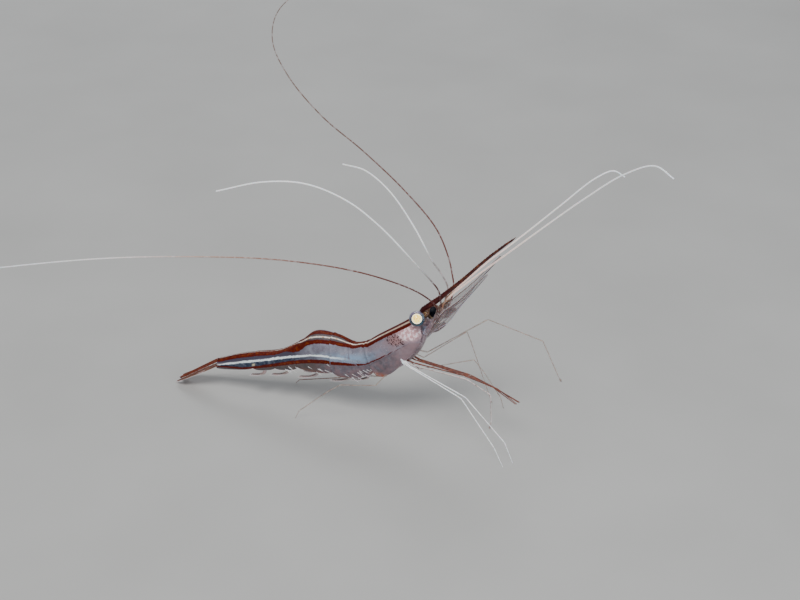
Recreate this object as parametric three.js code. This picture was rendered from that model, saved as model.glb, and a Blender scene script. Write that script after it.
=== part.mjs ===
// Narwal shrimp, Plesionika narval, as a life-size still model standing on six walking legs.
// Millimetres. +X points to the head, +Y to the animal's left, +Z up, and the floor is at zero height.
import * as THREE from 'three';

// Driving dimensions
const gap = 0.3; // clearance between two solids that would touch
const shellSides = 16; // corners round a slice of the shell
const limbSides = 6; // corners round a leg, feeler or stalk
const footRadius = 0.3; // flat under each foot
const eyeRadius = 1.9;
const bladeThickness = 0.5; // antennal scales, tail blades
const coxaLength = 1.1;
const legRow = 0.62; // radians from the belly line round to the row where the legs leave the shell

// Slices through the shell, from the tail side to the head side. Each has its top and bottom
// point in the middle plane, as [x, z], and half its width.
const carapaceSlices = [
  { top: [0.2, 20.8], bottom: [3.9, 13.5], halfWidth: 3.3 },
  { top: [2.8, 23.1], bottom: [7.3, 15.4], halfWidth: 3.7 },
  { top: [6.0, 25.6], bottom: [10.9, 18.2], halfWidth: 3.8 },
  { top: [9.2, 27.8], bottom: [13.8, 21.6], halfWidth: 3.3 },
  { top: [12.0, 29.9], bottom: [15.4, 25.2], halfWidth: 2.5 },
];
const headSlices = [
  { top: [13.1, 28.8], bottom: [15.8, 25.8], halfWidth: 2.0 },
  { top: [14.5, 29.0], bottom: [16.5, 26.5], halfWidth: 2.0 },
  { top: [15.6, 29.2], bottom: [17.0, 27.4], halfWidth: 1.8 },
];
const abdomenSlices = [
  { top: [-0.2, 20.5], bottom: [3.4, 13.6], halfWidth: 3.1 },
  { top: [-3.4, 20.2], bottom: [-0.6, 12.3], halfWidth: 3.4 },
  { top: [-8.2, 20.9], bottom: [-6.4, 11.4], halfWidth: 3.5 },
  { top: [-13.0, 21.0], bottom: [-11.8, 10.8], halfWidth: 3.4 },
  { top: [-16.9, 17.4], bottom: [-16.6, 9.9], halfWidth: 3.0 },
  { top: [-22.3, 14.9], bottom: [-22.6, 8.5], halfWidth: 2.6 },
  { top: [-28.0, 13.0], bottom: [-28.6, 7.5], halfWidth: 2.1 },
  { top: [-33.5, 11.0], bottom: [-34.0, 6.5], halfWidth: 1.7 },
  { top: [-38.2, 8.8], bottom: [-38.8, 5.4], halfWidth: 1.5 },
];
// Where each abdominal ring begins and ends, as places in the list of slices above
const ringBorders = [0, 1, 2, 4, 5, 6, 8];

// Rostrum: its upper edge is one curve of three points [x, z]
const rostrumEdge = [[8.3, 28.0], [20.1, 36.9], [35.4, 53.8]];
const crest = { rise: 0.5, place: 0.22, reach: 0.12 }; // the upper edge swells over the eyes
const rostrumDepth = { root: 1.35, tip: 0.5 };
const rostrumThickness = 0.6;
const rostrumSeat = 0.24; // share of the blade that lies on the carapace
const upperTeeth = 40;
const lowerTeeth = 30;
const toothHeight = 0.32;

// Tail fan: it leaves the last ring at tailRoot and slopes down to the rear
const tailRoot = new THREE.Vector3(-38.8, 0, 8.3);
const telsonSlope = THREE.MathUtils.degToRad(33);
const uropodSlope = THREE.MathUtils.degToRad(31);

const finish = {
  shell: { color: 0xb9a3b4, roughness: 0.35 },
  redShell: { color: 0x8a2f24, roughness: 0.35 },
  flesh: { color: 0xc9a79c, roughness: 0.45 },
  redLeg: { color: 0xa4452c, roughness: 0.4 },
  paleLeg: { color: 0xd9d3da, roughness: 0.4 },
  feeler: { color: 0x9c5a48, roughness: 0.5 },
  whiteFeeler: { color: 0xe4e6f0, roughness: 0.4 },
  blade: { color: 0xd8c4c4, roughness: 0.3 },
  eye: { color: 0x15181c, roughness: 0.08 },
};

const shrimp = new THREE.Group();

function add(name, geometry, look) {
  const material = new THREE.MeshStandardMaterial({ ...look, metalness: 0 });
  const mesh = new THREE.Mesh(geometry, material);
  mesh.name = name;
  shrimp.add(mesh);
  return mesh;
}

// A closed body stretched over a row of rings that all have the same number of corners.
function loft(rings) {
  const sides = rings[0].length;
  const corners = rings.flat();
  const lastRing = corners.length - sides;
  const faces = [];
  for (let ring = 0; ring + 1 < rings.length; ring += 1) {
    for (let side = 0; side < sides; side += 1) {
      const a = ring * sides + side;
      const b = ring * sides + ((side + 1) % sides);
      faces.push(a, b, b + sides, a, b + sides, a + sides);
    }
  }
  for (let side = 1; side + 1 < sides; side += 1) {
    faces.push(0, side + 1, side);
    faces.push(lastRing, lastRing + side, lastRing + side + 1);
  }
  if (signedVolume(corners, faces) < 0) faces.reverse();
  const geometry = new THREE.BufferGeometry();
  geometry.setFromPoints(corners);
  geometry.setIndex(faces);
  geometry.computeVertexNormals();
  return geometry;
}

function signedVolume(corners, faces) {
  let volume = 0;
  const cross = new THREE.Vector3();
  for (let i = 0; i < faces.length; i += 3) {
    const [a, b, c] = [corners[faces[i]], corners[faces[i + 1]], corners[faces[i + 2]]];
    volume += a.dot(cross.crossVectors(b, c)) / 6;
  }
  return volume;
}

// ---- Shell ----

// Smooth slices between the listed ones; place counts along the list, so 1.5 lies halfway
// between its second and third entries.
function sliceFinder(slices) {
  const curve = (read) => new THREE.CatmullRomCurve3(slices.map(read), false, 'centripetal');
  const tops = curve(({ top }) => new THREE.Vector3(top[0], 0, top[1]));
  const bottoms = curve(({ bottom }) => new THREE.Vector3(bottom[0], 0, bottom[1]));
  return (place) => {
    const t = place / (slices.length - 1);
    const before = slices[Math.floor(Math.min(place, slices.length - 1.001))];
    const after = slices[Math.ceil(place)];
    const width = THREE.MathUtils.lerp(before.halfWidth, after.halfWidth, place % 1);
    return { top: tops.getPoint(t), bottom: bottoms.getPoint(t), halfWidth: width };
  };
}

// A point of a slice: angle 0 is the back, a quarter turn is the right flank.
function slicePoint({ top, bottom, halfWidth }, angle, scale = 1) {
  const squareness = 0.88; // below 1, the flanks are fuller than an ellipse's
  const swell = (value) => Math.sign(value) * Math.abs(value) ** squareness;
  const middle = top.clone().add(bottom).multiplyScalar(0.5);
  const up = top.clone().sub(bottom).multiplyScalar(0.5);
  return middle
    .addScaledVector(up, scale * swell(Math.cos(angle)))
    .add(new THREE.Vector3(0, -scale * halfWidth * swell(Math.sin(angle)), 0));
}

function sliceRing(slice, scale = 1) {
  const ring = [];
  for (let side = 0; side < shellSides; side += 1) {
    ring.push(slicePoint(slice, (2 * Math.PI * side) / shellSides, scale));
  }
  return ring;
}

const carapaceSlice = sliceFinder(carapaceSlices);
const abdomenSlice = sliceFinder(abdomenSlices);

function buildCarapace() {
  const rings = [];
  const steps = 9;
  const lastPlace = carapaceSlices.length - 1;
  for (let step = 0; step <= steps; step += 1) {
    rings.push(sliceRing(carapaceSlice((lastPlace * step) / steps)));
  }
  add('carapace', loft(rings), finish.shell);
  const headSlice = sliceFinder(headSlices);
  const headRings = [0, 1, 2].map((place) => sliceRing(headSlice(place), place === 0 ? 0.9 : 1));
  add('head', loft(headRings), finish.flesh);
}

// Each abdominal ring is narrow in front and flares to a rear edge that stands over the next.
function buildAbdomen() {
  for (let ring = 0; ring < 6; ring += 1) {
    const from = ringBorders[ring];
    const to = ringBorders[ring + 1];
    const length = abdomenSlice(from).bottom.distanceTo(abdomenSlice(to).bottom);
    const inset = gap / 2 / length;
    const stops = [[inset, 0.93], [0.12, 0.98], [0.4, 1.01], [0.7, 1.02], [1 - inset, 1.0]];
    const rings = stops.map(([share, scale]) => {
      const slice = abdomenSlice(THREE.MathUtils.lerp(from, to, share));
      return sliceRing(slice, scale);
    });
    add(`pleon_${ring + 1}`, loft(rings), finish.shell);
  }
}

// ---- Rostrum ----

// The blade's outline: teeth forward along the upper edge, back along the lower edge, and then
// down the crest that sits on the carapace.
function buildRostrum() {
  const [root, middle, tip] = rostrumEdge.map(([x, z]) => new THREE.Vector2(x, z));
  const edge = new THREE.QuadraticBezierCurve(root, middle, tip);
  const along = (t, drop) => {
    const direction = edge.getTangent(t);
    const inward = new THREE.Vector2(direction.y, -direction.x);
    const swelling = crest.rise * Math.exp(-(((t - crest.place) / crest.reach) ** 2));
    return edge.getPoint(t).addScaledVector(inward, drop - swelling);
  };
  const depth = (t) => THREE.MathUtils.lerp(rostrumDepth.root, rostrumDepth.tip, t);
  const outline = [];
  for (let tooth = 0; tooth < upperTeeth; tooth += 1) {
    const start = tooth / upperTeeth;
    outline.push(along(start, toothHeight * 0.5));
    outline.push(along(start + 0.75 / upperTeeth, -toothHeight * 0.5));
  }
  outline.push(tip.clone());
  for (let tooth = lowerTeeth; tooth > 0; tooth -= 1) {
    const end = THREE.MathUtils.lerp(rostrumSeat, 1, tooth / (lowerTeeth + 1));
    outline.push(along(end, depth(end) + toothHeight * 0.4));
    outline.push(along(end - 0.5 / lowerTeeth, depth(end) - toothHeight * 0.1));
  }
  for (const place of [3.9, 3.5, 3.1, 2.85]) {
    const { top } = carapaceSlice(place);
    outline.push(new THREE.Vector2(top.x - 0.1, top.z + gap));
  }
  const blade = new THREE.ExtrudeGeometry(new THREE.Shape(outline), {
    depth: rostrumThickness,
    bevelEnabled: false,
  });
  blade.rotateX(Math.PI / 2);
  blade.translate(0, rostrumThickness / 2, 0);
  add('rostrum', blade, finish.redShell);
}

// ---- Swept parts ----

// One ring square to the direction of travel. Its first radius lies across the body, its
// second one up and down.
function sweptRing(centre, direction, across, upright) {
  const side = new THREE.Vector3(0, 1, 0);
  side.addScaledVector(direction, -side.dot(direction)).normalize();
  const rise = new THREE.Vector3().crossVectors(direction, side);
  const ring = [];
  for (let corner = 0; corner < limbSides; corner += 1) {
    const angle = (2 * Math.PI * corner) / limbSides;
    ring.push(centre.clone()
      .addScaledVector(side, across * Math.cos(angle))
      .addScaledVector(rise, upright * Math.sin(angle)));
  }
  return ring;
}

// A limb of straight segments with a knuckle at each joint: joints are points, and each
// segment has a thickness.
function segmentedLimb(joints, radii) {
  const knuckle = 1.2;
  const rings = [];
  joints.forEach((joint, index) => {
    const arriving = joint.clone().sub(joints[Math.max(index - 1, 0)]).normalize();
    const leaving = joints[Math.min(index + 1, joints.length - 1)].clone().sub(joint).normalize();
    const direction = arriving.clone().add(leaving).normalize();
    const radius = radii[Math.min(index, radii.length - 1)];
    const isEnd = index === 0 || index === joints.length - 1;
    const thickness = isEnd ? radius : radius * knuckle;
    rings.push(sweptRing(joint, direction, thickness, thickness));
    if (index + 1 < joints.length) {
      for (const share of [0.14, 0.86]) {
        const centre = joint.clone().lerp(joints[index + 1], share);
        rings.push(sweptRing(centre, leaving, radius, radius));
      }
    }
  });
  return rings;
}

// Rings along a short route, each with its own radius across and upright.
function taperedRings(route, acrossRadii, uprightRadii) {
  return route.map((centre, index) => {
    const next = route[Math.min(index + 1, route.length - 1)];
    const last = route[Math.max(index - 1, 0)];
    const direction = next.clone().sub(last).normalize();
    return sweptRing(centre, direction, acrossRadii[index], uprightRadii[index]);
  });
}

function horizontalRing(centre, radius) {
  const ring = [];
  for (let corner = 0; corner < limbSides; corner += 1) {
    const angle = (2 * Math.PI * corner) / limbSides;
    const offset = new THREE.Vector3(Math.sin(angle), Math.cos(angle), 0);
    ring.push(centre.clone().addScaledVector(offset, radius));
  }
  return ring;
}

const vectors = (points) => points.map(([x, y, z]) => new THREE.Vector3(x, y, z));

// A feeler on a smooth route, tapering evenly.
function feeler(name, route, rootRadius, tipRadius, steps, look) {
  const curve = new THREE.CatmullRomCurve3(vectors(route), false, 'centripetal');
  const rings = [];
  for (let step = 0; step <= steps; step += 1) {
    const t = step / steps;
    const radius = THREE.MathUtils.lerp(rootRadius, tipRadius, t);
    rings.push(sweptRing(curve.getPointAt(t), curve.getTangentAt(t), radius, radius));
  }
  add(name, loft(rings), look);
}

// ---- Eyes ----

// Each eye is a ball on a short stalk whose foot is on the head.
const eyes = {
  right: { ball: [13.6, -3.45, 31.0], stalkFoot: [14.9, -1.2, 28.9] },
  left: { ball: [14.9, 3.9, 29.9], stalkFoot: [15.1, 1.65, 28.75] },
};

function buildEyes() {
  for (const side of ['right', 'left']) {
    const [centre, foot] = vectors([eyes[side].ball, eyes[side].stalkFoot]);
    const ball = new THREE.SphereGeometry(eyeRadius, 14, 10);
    ball.translate(centre.x, centre.y, centre.z);
    add(`eye_${side}`, ball, finish.eye);
    const direction = foot.clone().sub(centre).normalize();
    const near = eyeRadius + gap;
    const far = centre.distanceTo(foot) - gap;
    const rings = [[0, 1.2], [0.5, 1.0], [1, 0.75]].map(([share, radius]) => {
      const reach = THREE.MathUtils.lerp(near, far, share);
      return sweptRing(centre.clone().addScaledVector(direction, reach), direction, radius, radius);
    });
    add(`eyestalk_${side}`, loft(rings), finish.flesh);
  }
}

// ---- Feelers of the head ----

function mirrored(points, sign) {
  return points.map(([x, y, z]) => [x, y * sign, z]);
}

function buildAntennules() {
  const peduncle = [[16.3, 1.5, 29.5], [17.5, 1.5, 31.3], [18.3, 1.5, 32.6], [18.9, 1.5, 33.6]];
  const radii = [0.8, 0.7, 0.6];
  for (const [side, sign] of [['right', -1], ['left', 1]]) {
    const joints = vectors(mirrored(peduncle, sign));
    add(`antennule_${side}`, loft(segmentedLimb(joints, radii)), finish.flesh);
  }
  feeler('flagellum_back_right', [
    [18.7, -1.6, 34.5], [18.3, -2.0, 38.2], [16.4, -2.7, 41.2], [14.0, -3.7, 44.4],
    [6.2, -7.4, 54.9], [-0.6, -9.8, 61.1], [-9.2, -12.3, 64.9], [-18.5, -14.3, 64.8], [-29.3, -16, 61.6],
  ], 0.3, 0.25, 24, finish.whiteFeeler);
  feeler('flagellum_back_left', [
    [18.7, 1.6, 34.5], [19.2, 1.9, 37.2], [17.2, 3.1, 39.9], [14.6, 4.5, 41.9],
    [8.8, 7.8, 48.4], [1.8, 11.1, 54.6], [-5.2, 13.8, 57.7], [-11.8, 16, 57.5],
  ], 0.3, 0.25, 18, finish.whiteFeeler);
  feeler('flagellum_front_left', [
    [19.5, 1.5, 34.1], [22.5, 1.8, 38.7], [26.9, 2.8, 43.9], [34.9, 4.4, 51.4], [43.5, 6, 60],
    [50.9, 7.6, 67.2], [54.4, 8.8, 68.9], [56.7, 10, 67.3],
  ], 0.3, 0.25, 22, finish.whiteFeeler);
  feeler('flagellum_front_right', [
    [19.5, -1.5, 34.1], [22.8, -1.6, 37.9], [27.4, -2.0, 43.5], [33.3, -3.2, 49.9], [42.8, -5, 59.5],
    [52, -6.8, 68.6], [60.8, -8.5, 76.4], [67.4, -10.2, 79.9], [71.7, -12, 78.5],
  ], 0.3, 0.25, 24, finish.whiteFeeler);
}

function buildAntennae() {
  const peduncle = [[16.9, 2.8, 27.9], [17.8, 3.0, 29.7], [18.4, 3.05, 31.0], [18.9, 3.1, 32.2]];
  const radii = [0.8, 0.7, 0.6];
  for (const [side, sign] of [['right', -1], ['left', 1]]) {
    const joints = vectors(mirrored(peduncle, sign));
    add(`antenna_base_${side}`, loft(segmentedLimb(joints, radii)), finish.flesh);
  }
  feeler('antenna_right', [
    [18.8, -3.3, 32.9], [18.3, -3.7, 35.2], [16.8, -4.6, 37.2], [13.3, -6.7, 40.2], [2.4, -11.3, 44.8],
    [-14.6, -16, 47.1], [-34, -20.7, 46.8], [-53.8, -25.3, 45.1], [-74.5, -30, 41.8], [-92, -33.8, 38.2],
  ], 0.36, 0.25, 34, finish.feeler);
  feeler('antenna_left', [
    [19.3, 3.3, 32.8], [19.8, 4.3, 36.0], [18.9, 5.6, 39.2], [17.3, 7.6, 42.1], [12.6, 12.3, 46.6],
    [3.1, 16.9, 52.8], [-8.3, 20.1, 59.7], [-19.8, 23.1, 65.7], [-29.6, 26.2, 73.5],
    [-34.7, 29.4, 80.4], [-34.5, 32.4, 86.6], [-28, 36, 92.5], [-17, 39.5, 95.5],
  ], 0.36, 0.25, 36, finish.feeler);
}

// A flat blade in a frame of its own: origin at the root, x along it, y across it.
function flatBlade(outline, root, tip, acrossHint) {
  const shape = new THREE.Shape(outline.map(([x, y]) => new THREE.Vector2(x, y)));
  const blade = new THREE.ExtrudeGeometry(shape, { depth: bladeThickness, bevelEnabled: false });
  blade.translate(0, 0, -bladeThickness / 2);
  const along = tip.clone().sub(root).normalize();
  const across = acrossHint.clone().addScaledVector(along, -acrossHint.dot(along)).normalize();
  const normal = new THREE.Vector3().crossVectors(along, across);
  const frame = new THREE.Matrix4().makeBasis(along, across, normal).setPosition(root);
  blade.applyMatrix4(frame);
  return blade;
}

// The outer edge of an antennal scale is straight and ends in a spine; the inner one bulges.
function scaleOutline(length, width) {
  const outline = [[0, 0.45 * width], [0.94 * length, 0.34 * width], [length, 0.3 * width]];
  const steps = 9;
  for (let step = 0; step <= steps; step += 1) {
    const t = 1 - step / steps;
    const bulge = Math.sin(Math.PI * (0.05 + 0.85 * t)) ** 0.9;
    outline.push([0.97 * length * t, 0.3 * width - width * bulge * (1 - 0.25 * t)]);
  }
  return outline;
}

function buildScales() {
  const root = [17.0, 5.2, 27.8];
  const tip = [30.6, 4.7, 46.0];
  for (const [side, sign] of [['right', -1], ['left', 1]]) {
    const [from, to] = vectors(mirrored([root, tip], sign));
    const length = from.distanceTo(to);
    // the outer edge hangs lower than the inner one
    const outward = new THREE.Vector3(0.35, 0.72 * sign, -0.6);
    add(`scale_${side}`, flatBlade(scaleOutline(length, 3.6), from, to, outward), finish.blade);
  }
}

// ---- Legs ----

// Where each limb leaves the carapace, as a place in its list of slices
const legPlaces = {
  maxilliped: 2.95,
  leg_1: 2.55,
  leg_2: 2.15,
  leg_3: 1.75,
  leg_4: 1.35,
  leg_5: 0.95,
};

// Each limb leaves the underside of the carapace square to it, as a short coxa.
function coxa(limb, sign) {
  const slice = carapaceSlice(legPlaces[limb]);
  const skin = slicePoint(slice, Math.PI + sign * legRow);
  const middle = slice.top.clone().add(slice.bottom).multiplyScalar(0.5);
  const outward = skin.clone().sub(middle).normalize();
  const root = skin.clone().addScaledVector(outward, gap);
  return [root, root.clone().addScaledVector(outward, coxaLength)];
}

function buildLeg(limb, side, points, radii, look, stands) {
  const sign = side === 'right' ? -1 : 1;
  const joints = [...coxa(limb, sign), ...vectors(points)];
  const rings = segmentedLimb(joints, radii);
  if (stands) {
    rings.pop();
    rings.push(horizontalRing(joints[joints.length - 1], footRadius));
  }
  add(`${limb}_${side}`, loft(rings), look);
}

const redLegRadii = [0.5, 0.44, 0.42, 0.36, 0.3, 0.26];
const walkingLegRadii = [0.5, 0.42, 0.35, 0.32, 0.28, 0.26];

function buildLegs() {
  buildLeg('maxilliped', 'right', [
    [15.4, -1.25, 18.4], [24.9, -1.6, 17.3], [31.0, -2.0, 16.1], [37.1, -3.0, 12.9],
  ], redLegRadii, finish.redLeg);
  buildLeg('maxilliped', 'left', [
    [15.2, 1.1, 17.6], [24.9, 0.6, 16.0], [31.0, 0.4, 14.6], [36.2, 0.2, 11.4],
  ], redLegRadii, finish.redLeg);
  buildLeg('leg_1', 'right', [
    [15.0, -2.4, 18.3], [24.9, -2.9, 18.0], [32.8, -3.6, 16.9], [39.1, -5.0, 15.3],
  ], redLegRadii, finish.redLeg);
  buildLeg('leg_1', 'left', [
    [14.6, 2.3, 16.6], [24.9, 2.0, 15.6], [32.0, 1.8, 13.0], [37.0, 2.2, 9.6],
  ], redLegRadii, finish.redLeg);
  buildLeg('leg_2', 'right', [
    [15.2, -3.4, 17.7], [26.0, -4.2, 17.9], [32.0, -4.9, 15.4], [32.6, -5.6, 9.0], [32.2, -5.8, 6.8],
  ], redLegRadii, finish.redLeg);
  buildLeg('leg_2', 'left', [
    [13.6, 4.2, 18.2], [27.4, 6.7, 28.2], [39.8, 10.2, 23.0], [42.9, 12.2, 14.0], [43.9, 13.0, 11.3],
  ], redLegRadii, finish.redLeg);
  buildLeg('leg_3', 'right', [
    [13.6, -4.9, 17.8], [24.2, -5.7, 14.7], [26.5, -6.0, 14.2], [37.4, -7.5, 3.0], [38.7, -7.7, 0],
  ], walkingLegRadii, finish.paleLeg, true);
  buildLeg('leg_3', 'left', [
    [12.6, 4.5, 16.4], [22.0, 8.0, 23.3], [22.6, 9.6, 19.6], [25.4, 14.6, 4.2], [26.1, 16.2, 0],
  ], walkingLegRadii, finish.redLeg, true);
  buildLeg('leg_4', 'right', [
    [12.6, -6.3, 18.1], [23.0, -7.1, 15.7], [26.1, -7.8, 14.8], [34.9, -9.8, 4.2], [37.1, -10.2, 0],
  ], walkingLegRadii, finish.paleLeg, true);
  buildLeg('leg_4', 'left', [
    [11.6, 4.2, 13.2], [24.0, 7.5, 16.4], [26.0, 9.1, 12.6], [29.0, 13.6, 3.6], [29.4, 14.8, 0],
  ], walkingLegRadii, finish.redLeg, true);
  buildLeg('leg_5', 'right', [
    [3.5, -3.6, 11.4], [-5.0, -5.0, 10.6], [-8.0, -5.5, 8.4], [-15.0, -6.3, 2.2], [-16.0, -6.5, 0],
  ], walkingLegRadii, finish.redLeg, true);
  buildLeg('leg_5', 'left', [
    [3.5, 3.0, 10.2], [-5.4, 3.8, 8.4], [-9.4, 4.8, 6.3], [-20.8, 7.8, 1.8], [-22.3, 8.8, 0],
  ], walkingLegRadii, finish.redLeg, true);
}

// ---- Mouth, swimming legs and tail ----

function buildMouth() {
  const route = vectors([[14.9, 0, 20.9], [15.9, 0, 22.6], [16.7, 0, 24.4], [17.3, 0, 25.8]]);
  const rings = taperedRings(route, [0.8, 1.4, 1.5, 0.9], [0.45, 0.7, 0.7, 0.45]);
  add('mouthparts', loft(rings), finish.flesh);
}

// A swimming leg is a stalk and a paddle that sweeps back under the belly.
function buildSwimmingLegs() {
  const places = [0.55, 1.5, 3.0, 4.5, 5.5];
  const lengths = [4.6, 5.2, 5.2, 4.6, 4.0];
  const sweepBack = [[0, 0], [-0.14, -0.17], [-0.4, -0.3], [-0.75, -0.4], [-1, -0.42]];
  places.forEach((place, index) => {
    const root = abdomenSlice(place).bottom;
    const length = lengths[index];
    for (const [side, sign] of [['right', -1], ['left', 1]]) {
      const start = new THREE.Vector3(root.x, 1.25 * sign, root.z - gap - 0.15);
      const route = sweepBack.map(([back, down]) => (
        start.clone().add(new THREE.Vector3(back * length, 0, down * length))
      ));
      const rings = taperedRings(route, [0.4, 0.5, 0.75, 0.7, 0.3], [0.4, 0.42, 0.32, 0.28, 0.25]);
      add(`pleopod_${index + 1}_${side}`, loft(rings), finish.blade);
    }
  });
}

function tailOutline(length, rootWidth, fullWidth, tipWidth) {
  const endWidth = tipWidth * 0.4;
  const stops = [[0, rootWidth], [0.35, fullWidth], [0.7, fullWidth], [0.93, tipWidth], [1, endWidth]];
  const upper = stops.map(([share, width]) => [share * length, width / 2]);
  const lower = stops.map(([share, width]) => [share * length, -width / 2]).reverse();
  return [...upper, ...lower];
}

function buildTail() {
  const place = (slope, reach, outward, lower) => tailRoot.clone()
    .add(new THREE.Vector3(-Math.cos(slope) * reach, outward, -Math.sin(slope) * reach - lower));
  const blade = (outline, slope, lower, reaches, outwards) => flatBlade(
    outline,
    place(slope, reaches[0], outwards[0], lower),
    place(slope, reaches[1], outwards[1], lower),
    new THREE.Vector3(0, 1, 0),
  );
  const telson = blade(tailOutline(11.4, 2.0, 1.3, 0.8), telsonSlope, 0, [0, 11.4], [0, 0]);
  add('telson', telson, finish.redShell);
  for (const [side, sign] of [['right', -1], ['left', 1]]) {
    add(
      `uropod_inner_${side}`,
      blade(tailOutline(11.2, 1.2, 1.7, 1.0), uropodSlope, 1.07, [0.2, 11.4], [1.1 * sign, 1.6 * sign]),
      finish.blade,
    );
    add(
      `uropod_outer_${side}`,
      blade(tailOutline(10.4, 1.1, 1.9, 1.1), uropodSlope, 1.77, [0.4, 10.8], [1.1 * sign, 2.1 * sign]),
      finish.redShell,
    );
  }
}

buildCarapace();
buildAbdomen();
buildRostrum();
buildEyes();
buildAntennules();
buildAntennae();
buildScales();
buildLegs();
buildMouth();
buildSwimmingLegs();
buildTail();

// The frame's origin lies under the middle of the whole animal, on the floor.
const extent = new THREE.Box3().setFromObject(shrimp, true);
const middle = extent.getCenter(new THREE.Vector3());
shrimp.position.set(-middle.x, -middle.y, -extent.min.z);
shrimp.updateMatrixWorld(true);

export default shrimp;
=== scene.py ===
import math
import bpy
import numpy as np
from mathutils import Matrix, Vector


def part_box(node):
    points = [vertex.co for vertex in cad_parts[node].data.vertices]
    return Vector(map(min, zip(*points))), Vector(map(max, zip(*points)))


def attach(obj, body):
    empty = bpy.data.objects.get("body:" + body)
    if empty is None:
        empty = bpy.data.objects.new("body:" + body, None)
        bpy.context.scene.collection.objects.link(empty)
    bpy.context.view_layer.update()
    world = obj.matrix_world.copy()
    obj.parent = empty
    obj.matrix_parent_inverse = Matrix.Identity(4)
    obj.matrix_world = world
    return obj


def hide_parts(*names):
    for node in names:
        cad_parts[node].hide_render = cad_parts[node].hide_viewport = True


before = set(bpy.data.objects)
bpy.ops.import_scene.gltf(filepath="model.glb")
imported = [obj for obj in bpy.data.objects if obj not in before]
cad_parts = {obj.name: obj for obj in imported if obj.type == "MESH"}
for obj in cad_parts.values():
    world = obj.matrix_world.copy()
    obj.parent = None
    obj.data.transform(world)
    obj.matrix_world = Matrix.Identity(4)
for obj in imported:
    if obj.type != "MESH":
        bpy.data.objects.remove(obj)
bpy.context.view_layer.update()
print("frame loaded")

# Every place below is in millimetres from a point on the floor under the first ring of the abdomen,
# +X to the head, +Y to the animal's left. The near eye tells where that point lies in the frame.
millimetre = 0.001
nearEyeSpot = (13.6, -3.45, 31.0)
eyeLow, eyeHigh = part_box("eye_right")
shift = np.array((eyeLow + eyeHigh) / 2) - np.array(nearEyeSpot) * millimetre
sides = {"right": -1, "left": 1}


def inFrame(points):
    return np.asarray(points, float) * millimetre + shift


# Shaping tools. Routes, tubes and plates are points in millimetres.

def splineAt(points, places):  # place 1.5 lies halfway from the second listed point to the third
    known = np.asarray(points, float)
    longer = np.vstack([2 * known[0] - known[1], known, 2 * known[-1] - known[-2]])
    places = np.clip(np.atleast_1d(np.asarray(places, float)), 0, len(known) - 1)
    span = np.minimum(places.astype(int), len(known) - 2)
    t = (places - span)[:, None]
    a, b, c, d = (longer[span + k] for k in range(4))
    ab, bc, cd = (np.maximum(np.linalg.norm(q - p, axis=1), 1e-9)[:, None] ** 0.5
                  for p, q in ((a, b), (b, c), (c, d)))
    leave = ((b - a) / ab - (c - a) / (ab + bc) + (c - b) / bc) * bc
    arrive = ((c - b) / bc - (d - b) / (bc + cd) + (d - c) / cd) * bc
    return ((2 * t ** 3 - 3 * t ** 2 + 1) * b + (t ** 3 - 2 * t ** 2 + t) * leave
            + (3 * t ** 2 - 2 * t ** 3) * c + (t ** 3 - t ** 2) * arrive)


def evenly(path, count):
    path = np.asarray(path, float)
    length = np.concatenate([[0], np.cumsum(np.linalg.norm(np.diff(path, axis=0), axis=1))])
    stops = np.linspace(0, length[-1], count)
    return np.stack([np.interp(stops, length, path[:, k]) for k in range(3)], 1)


def smoothRoute(points, count, stopsPerPoint=14):
    return evenly(splineAt(points, np.linspace(0, len(points) - 1, stopsPerPoint * len(points))), count)


def tableAt(table, places):  # a value between the listed pairs of place and value
    known = np.array(table, float)
    return np.interp(places, known[:, 0], known[:, 1])


def hill(value, centre, width):  # 1 at the centre, falling smoothly to both sides
    return np.exp(-((value - centre) / width) ** 2)


def climb(value, low, high):  # 0 at low, 1 at high, straight between
    return np.clip((value - low) / (high - low), 0, 1)


def unit(vectors):
    vectors = np.asarray(vectors, float)
    return vectors / np.maximum(np.linalg.norm(vectors, axis=-1, keepdims=True), 1e-12)


def cornerAngles(count):
    return np.linspace(0, 2 * math.pi, count, endpoint=False)


def ringsAlong(path, across, upright, corners=12):  # rings square to a route; across lies level
    path = np.asarray(path, float)
    forward = unit(np.gradient(path, axis=0))
    level = np.array([0.0, 1.0, 0.0])
    side = unit(level - forward * (forward @ level)[:, None])
    rise = np.cross(forward, side)
    angle = cornerAngles(corners)
    across = np.broadcast_to(across, len(path))[:, None, None]
    upright = np.broadcast_to(upright, len(path))[:, None, None]
    return (path[:, None] + side[:, None] * across * np.cos(angle)[None, :, None]
            + rise[:, None] * upright * np.sin(angle)[None, :, None])


def part(points, faces, **values):
    return {"points": np.asarray(points, float).reshape(-1, 3), "faces": faces, "values": values}


def facingOut(points, faces):  # turns every face of a closed body round when they face inward
    corners = np.array([(f[0], f[k], f[k + 1]) for f in faces for k in range(1, len(f) - 1)])
    a, b, c = (points[corners[:, k]] - points.mean(0) for k in range(3))
    return faces if np.sum(a * np.cross(b, c)) > 0 else [tuple(reversed(f)) for f in faces]


def tubePart(rings, **values):  # a closed body over rings, each value one number per ring
    count, corners = rings.shape[:2]
    points = np.vstack([rings.reshape(-1, 3), rings[0].mean(0), rings[-1].mean(0)])
    first, last = count * corners, count * corners + 1
    faces = []
    for corner in range(corners):
        after = (corner + 1) % corners
        for ring in range(count - 1):
            low, high = ring * corners, (ring + 1) * corners
            faces.append((low + corner, low + after, high + after, high + corner))
        faces.append((first, after, corner))
        top = (count - 1) * corners
        faces.append((last, top + corner, top + after))
    spread = {}
    for name, perRing in values.items():
        perRing = np.broadcast_to(perRing, count)
        spread[name] = np.concatenate([np.repeat(perRing, corners), [perRing[0], perRing[-1]]])
    return part(points, facingOut(points, faces), **spread)


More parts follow.
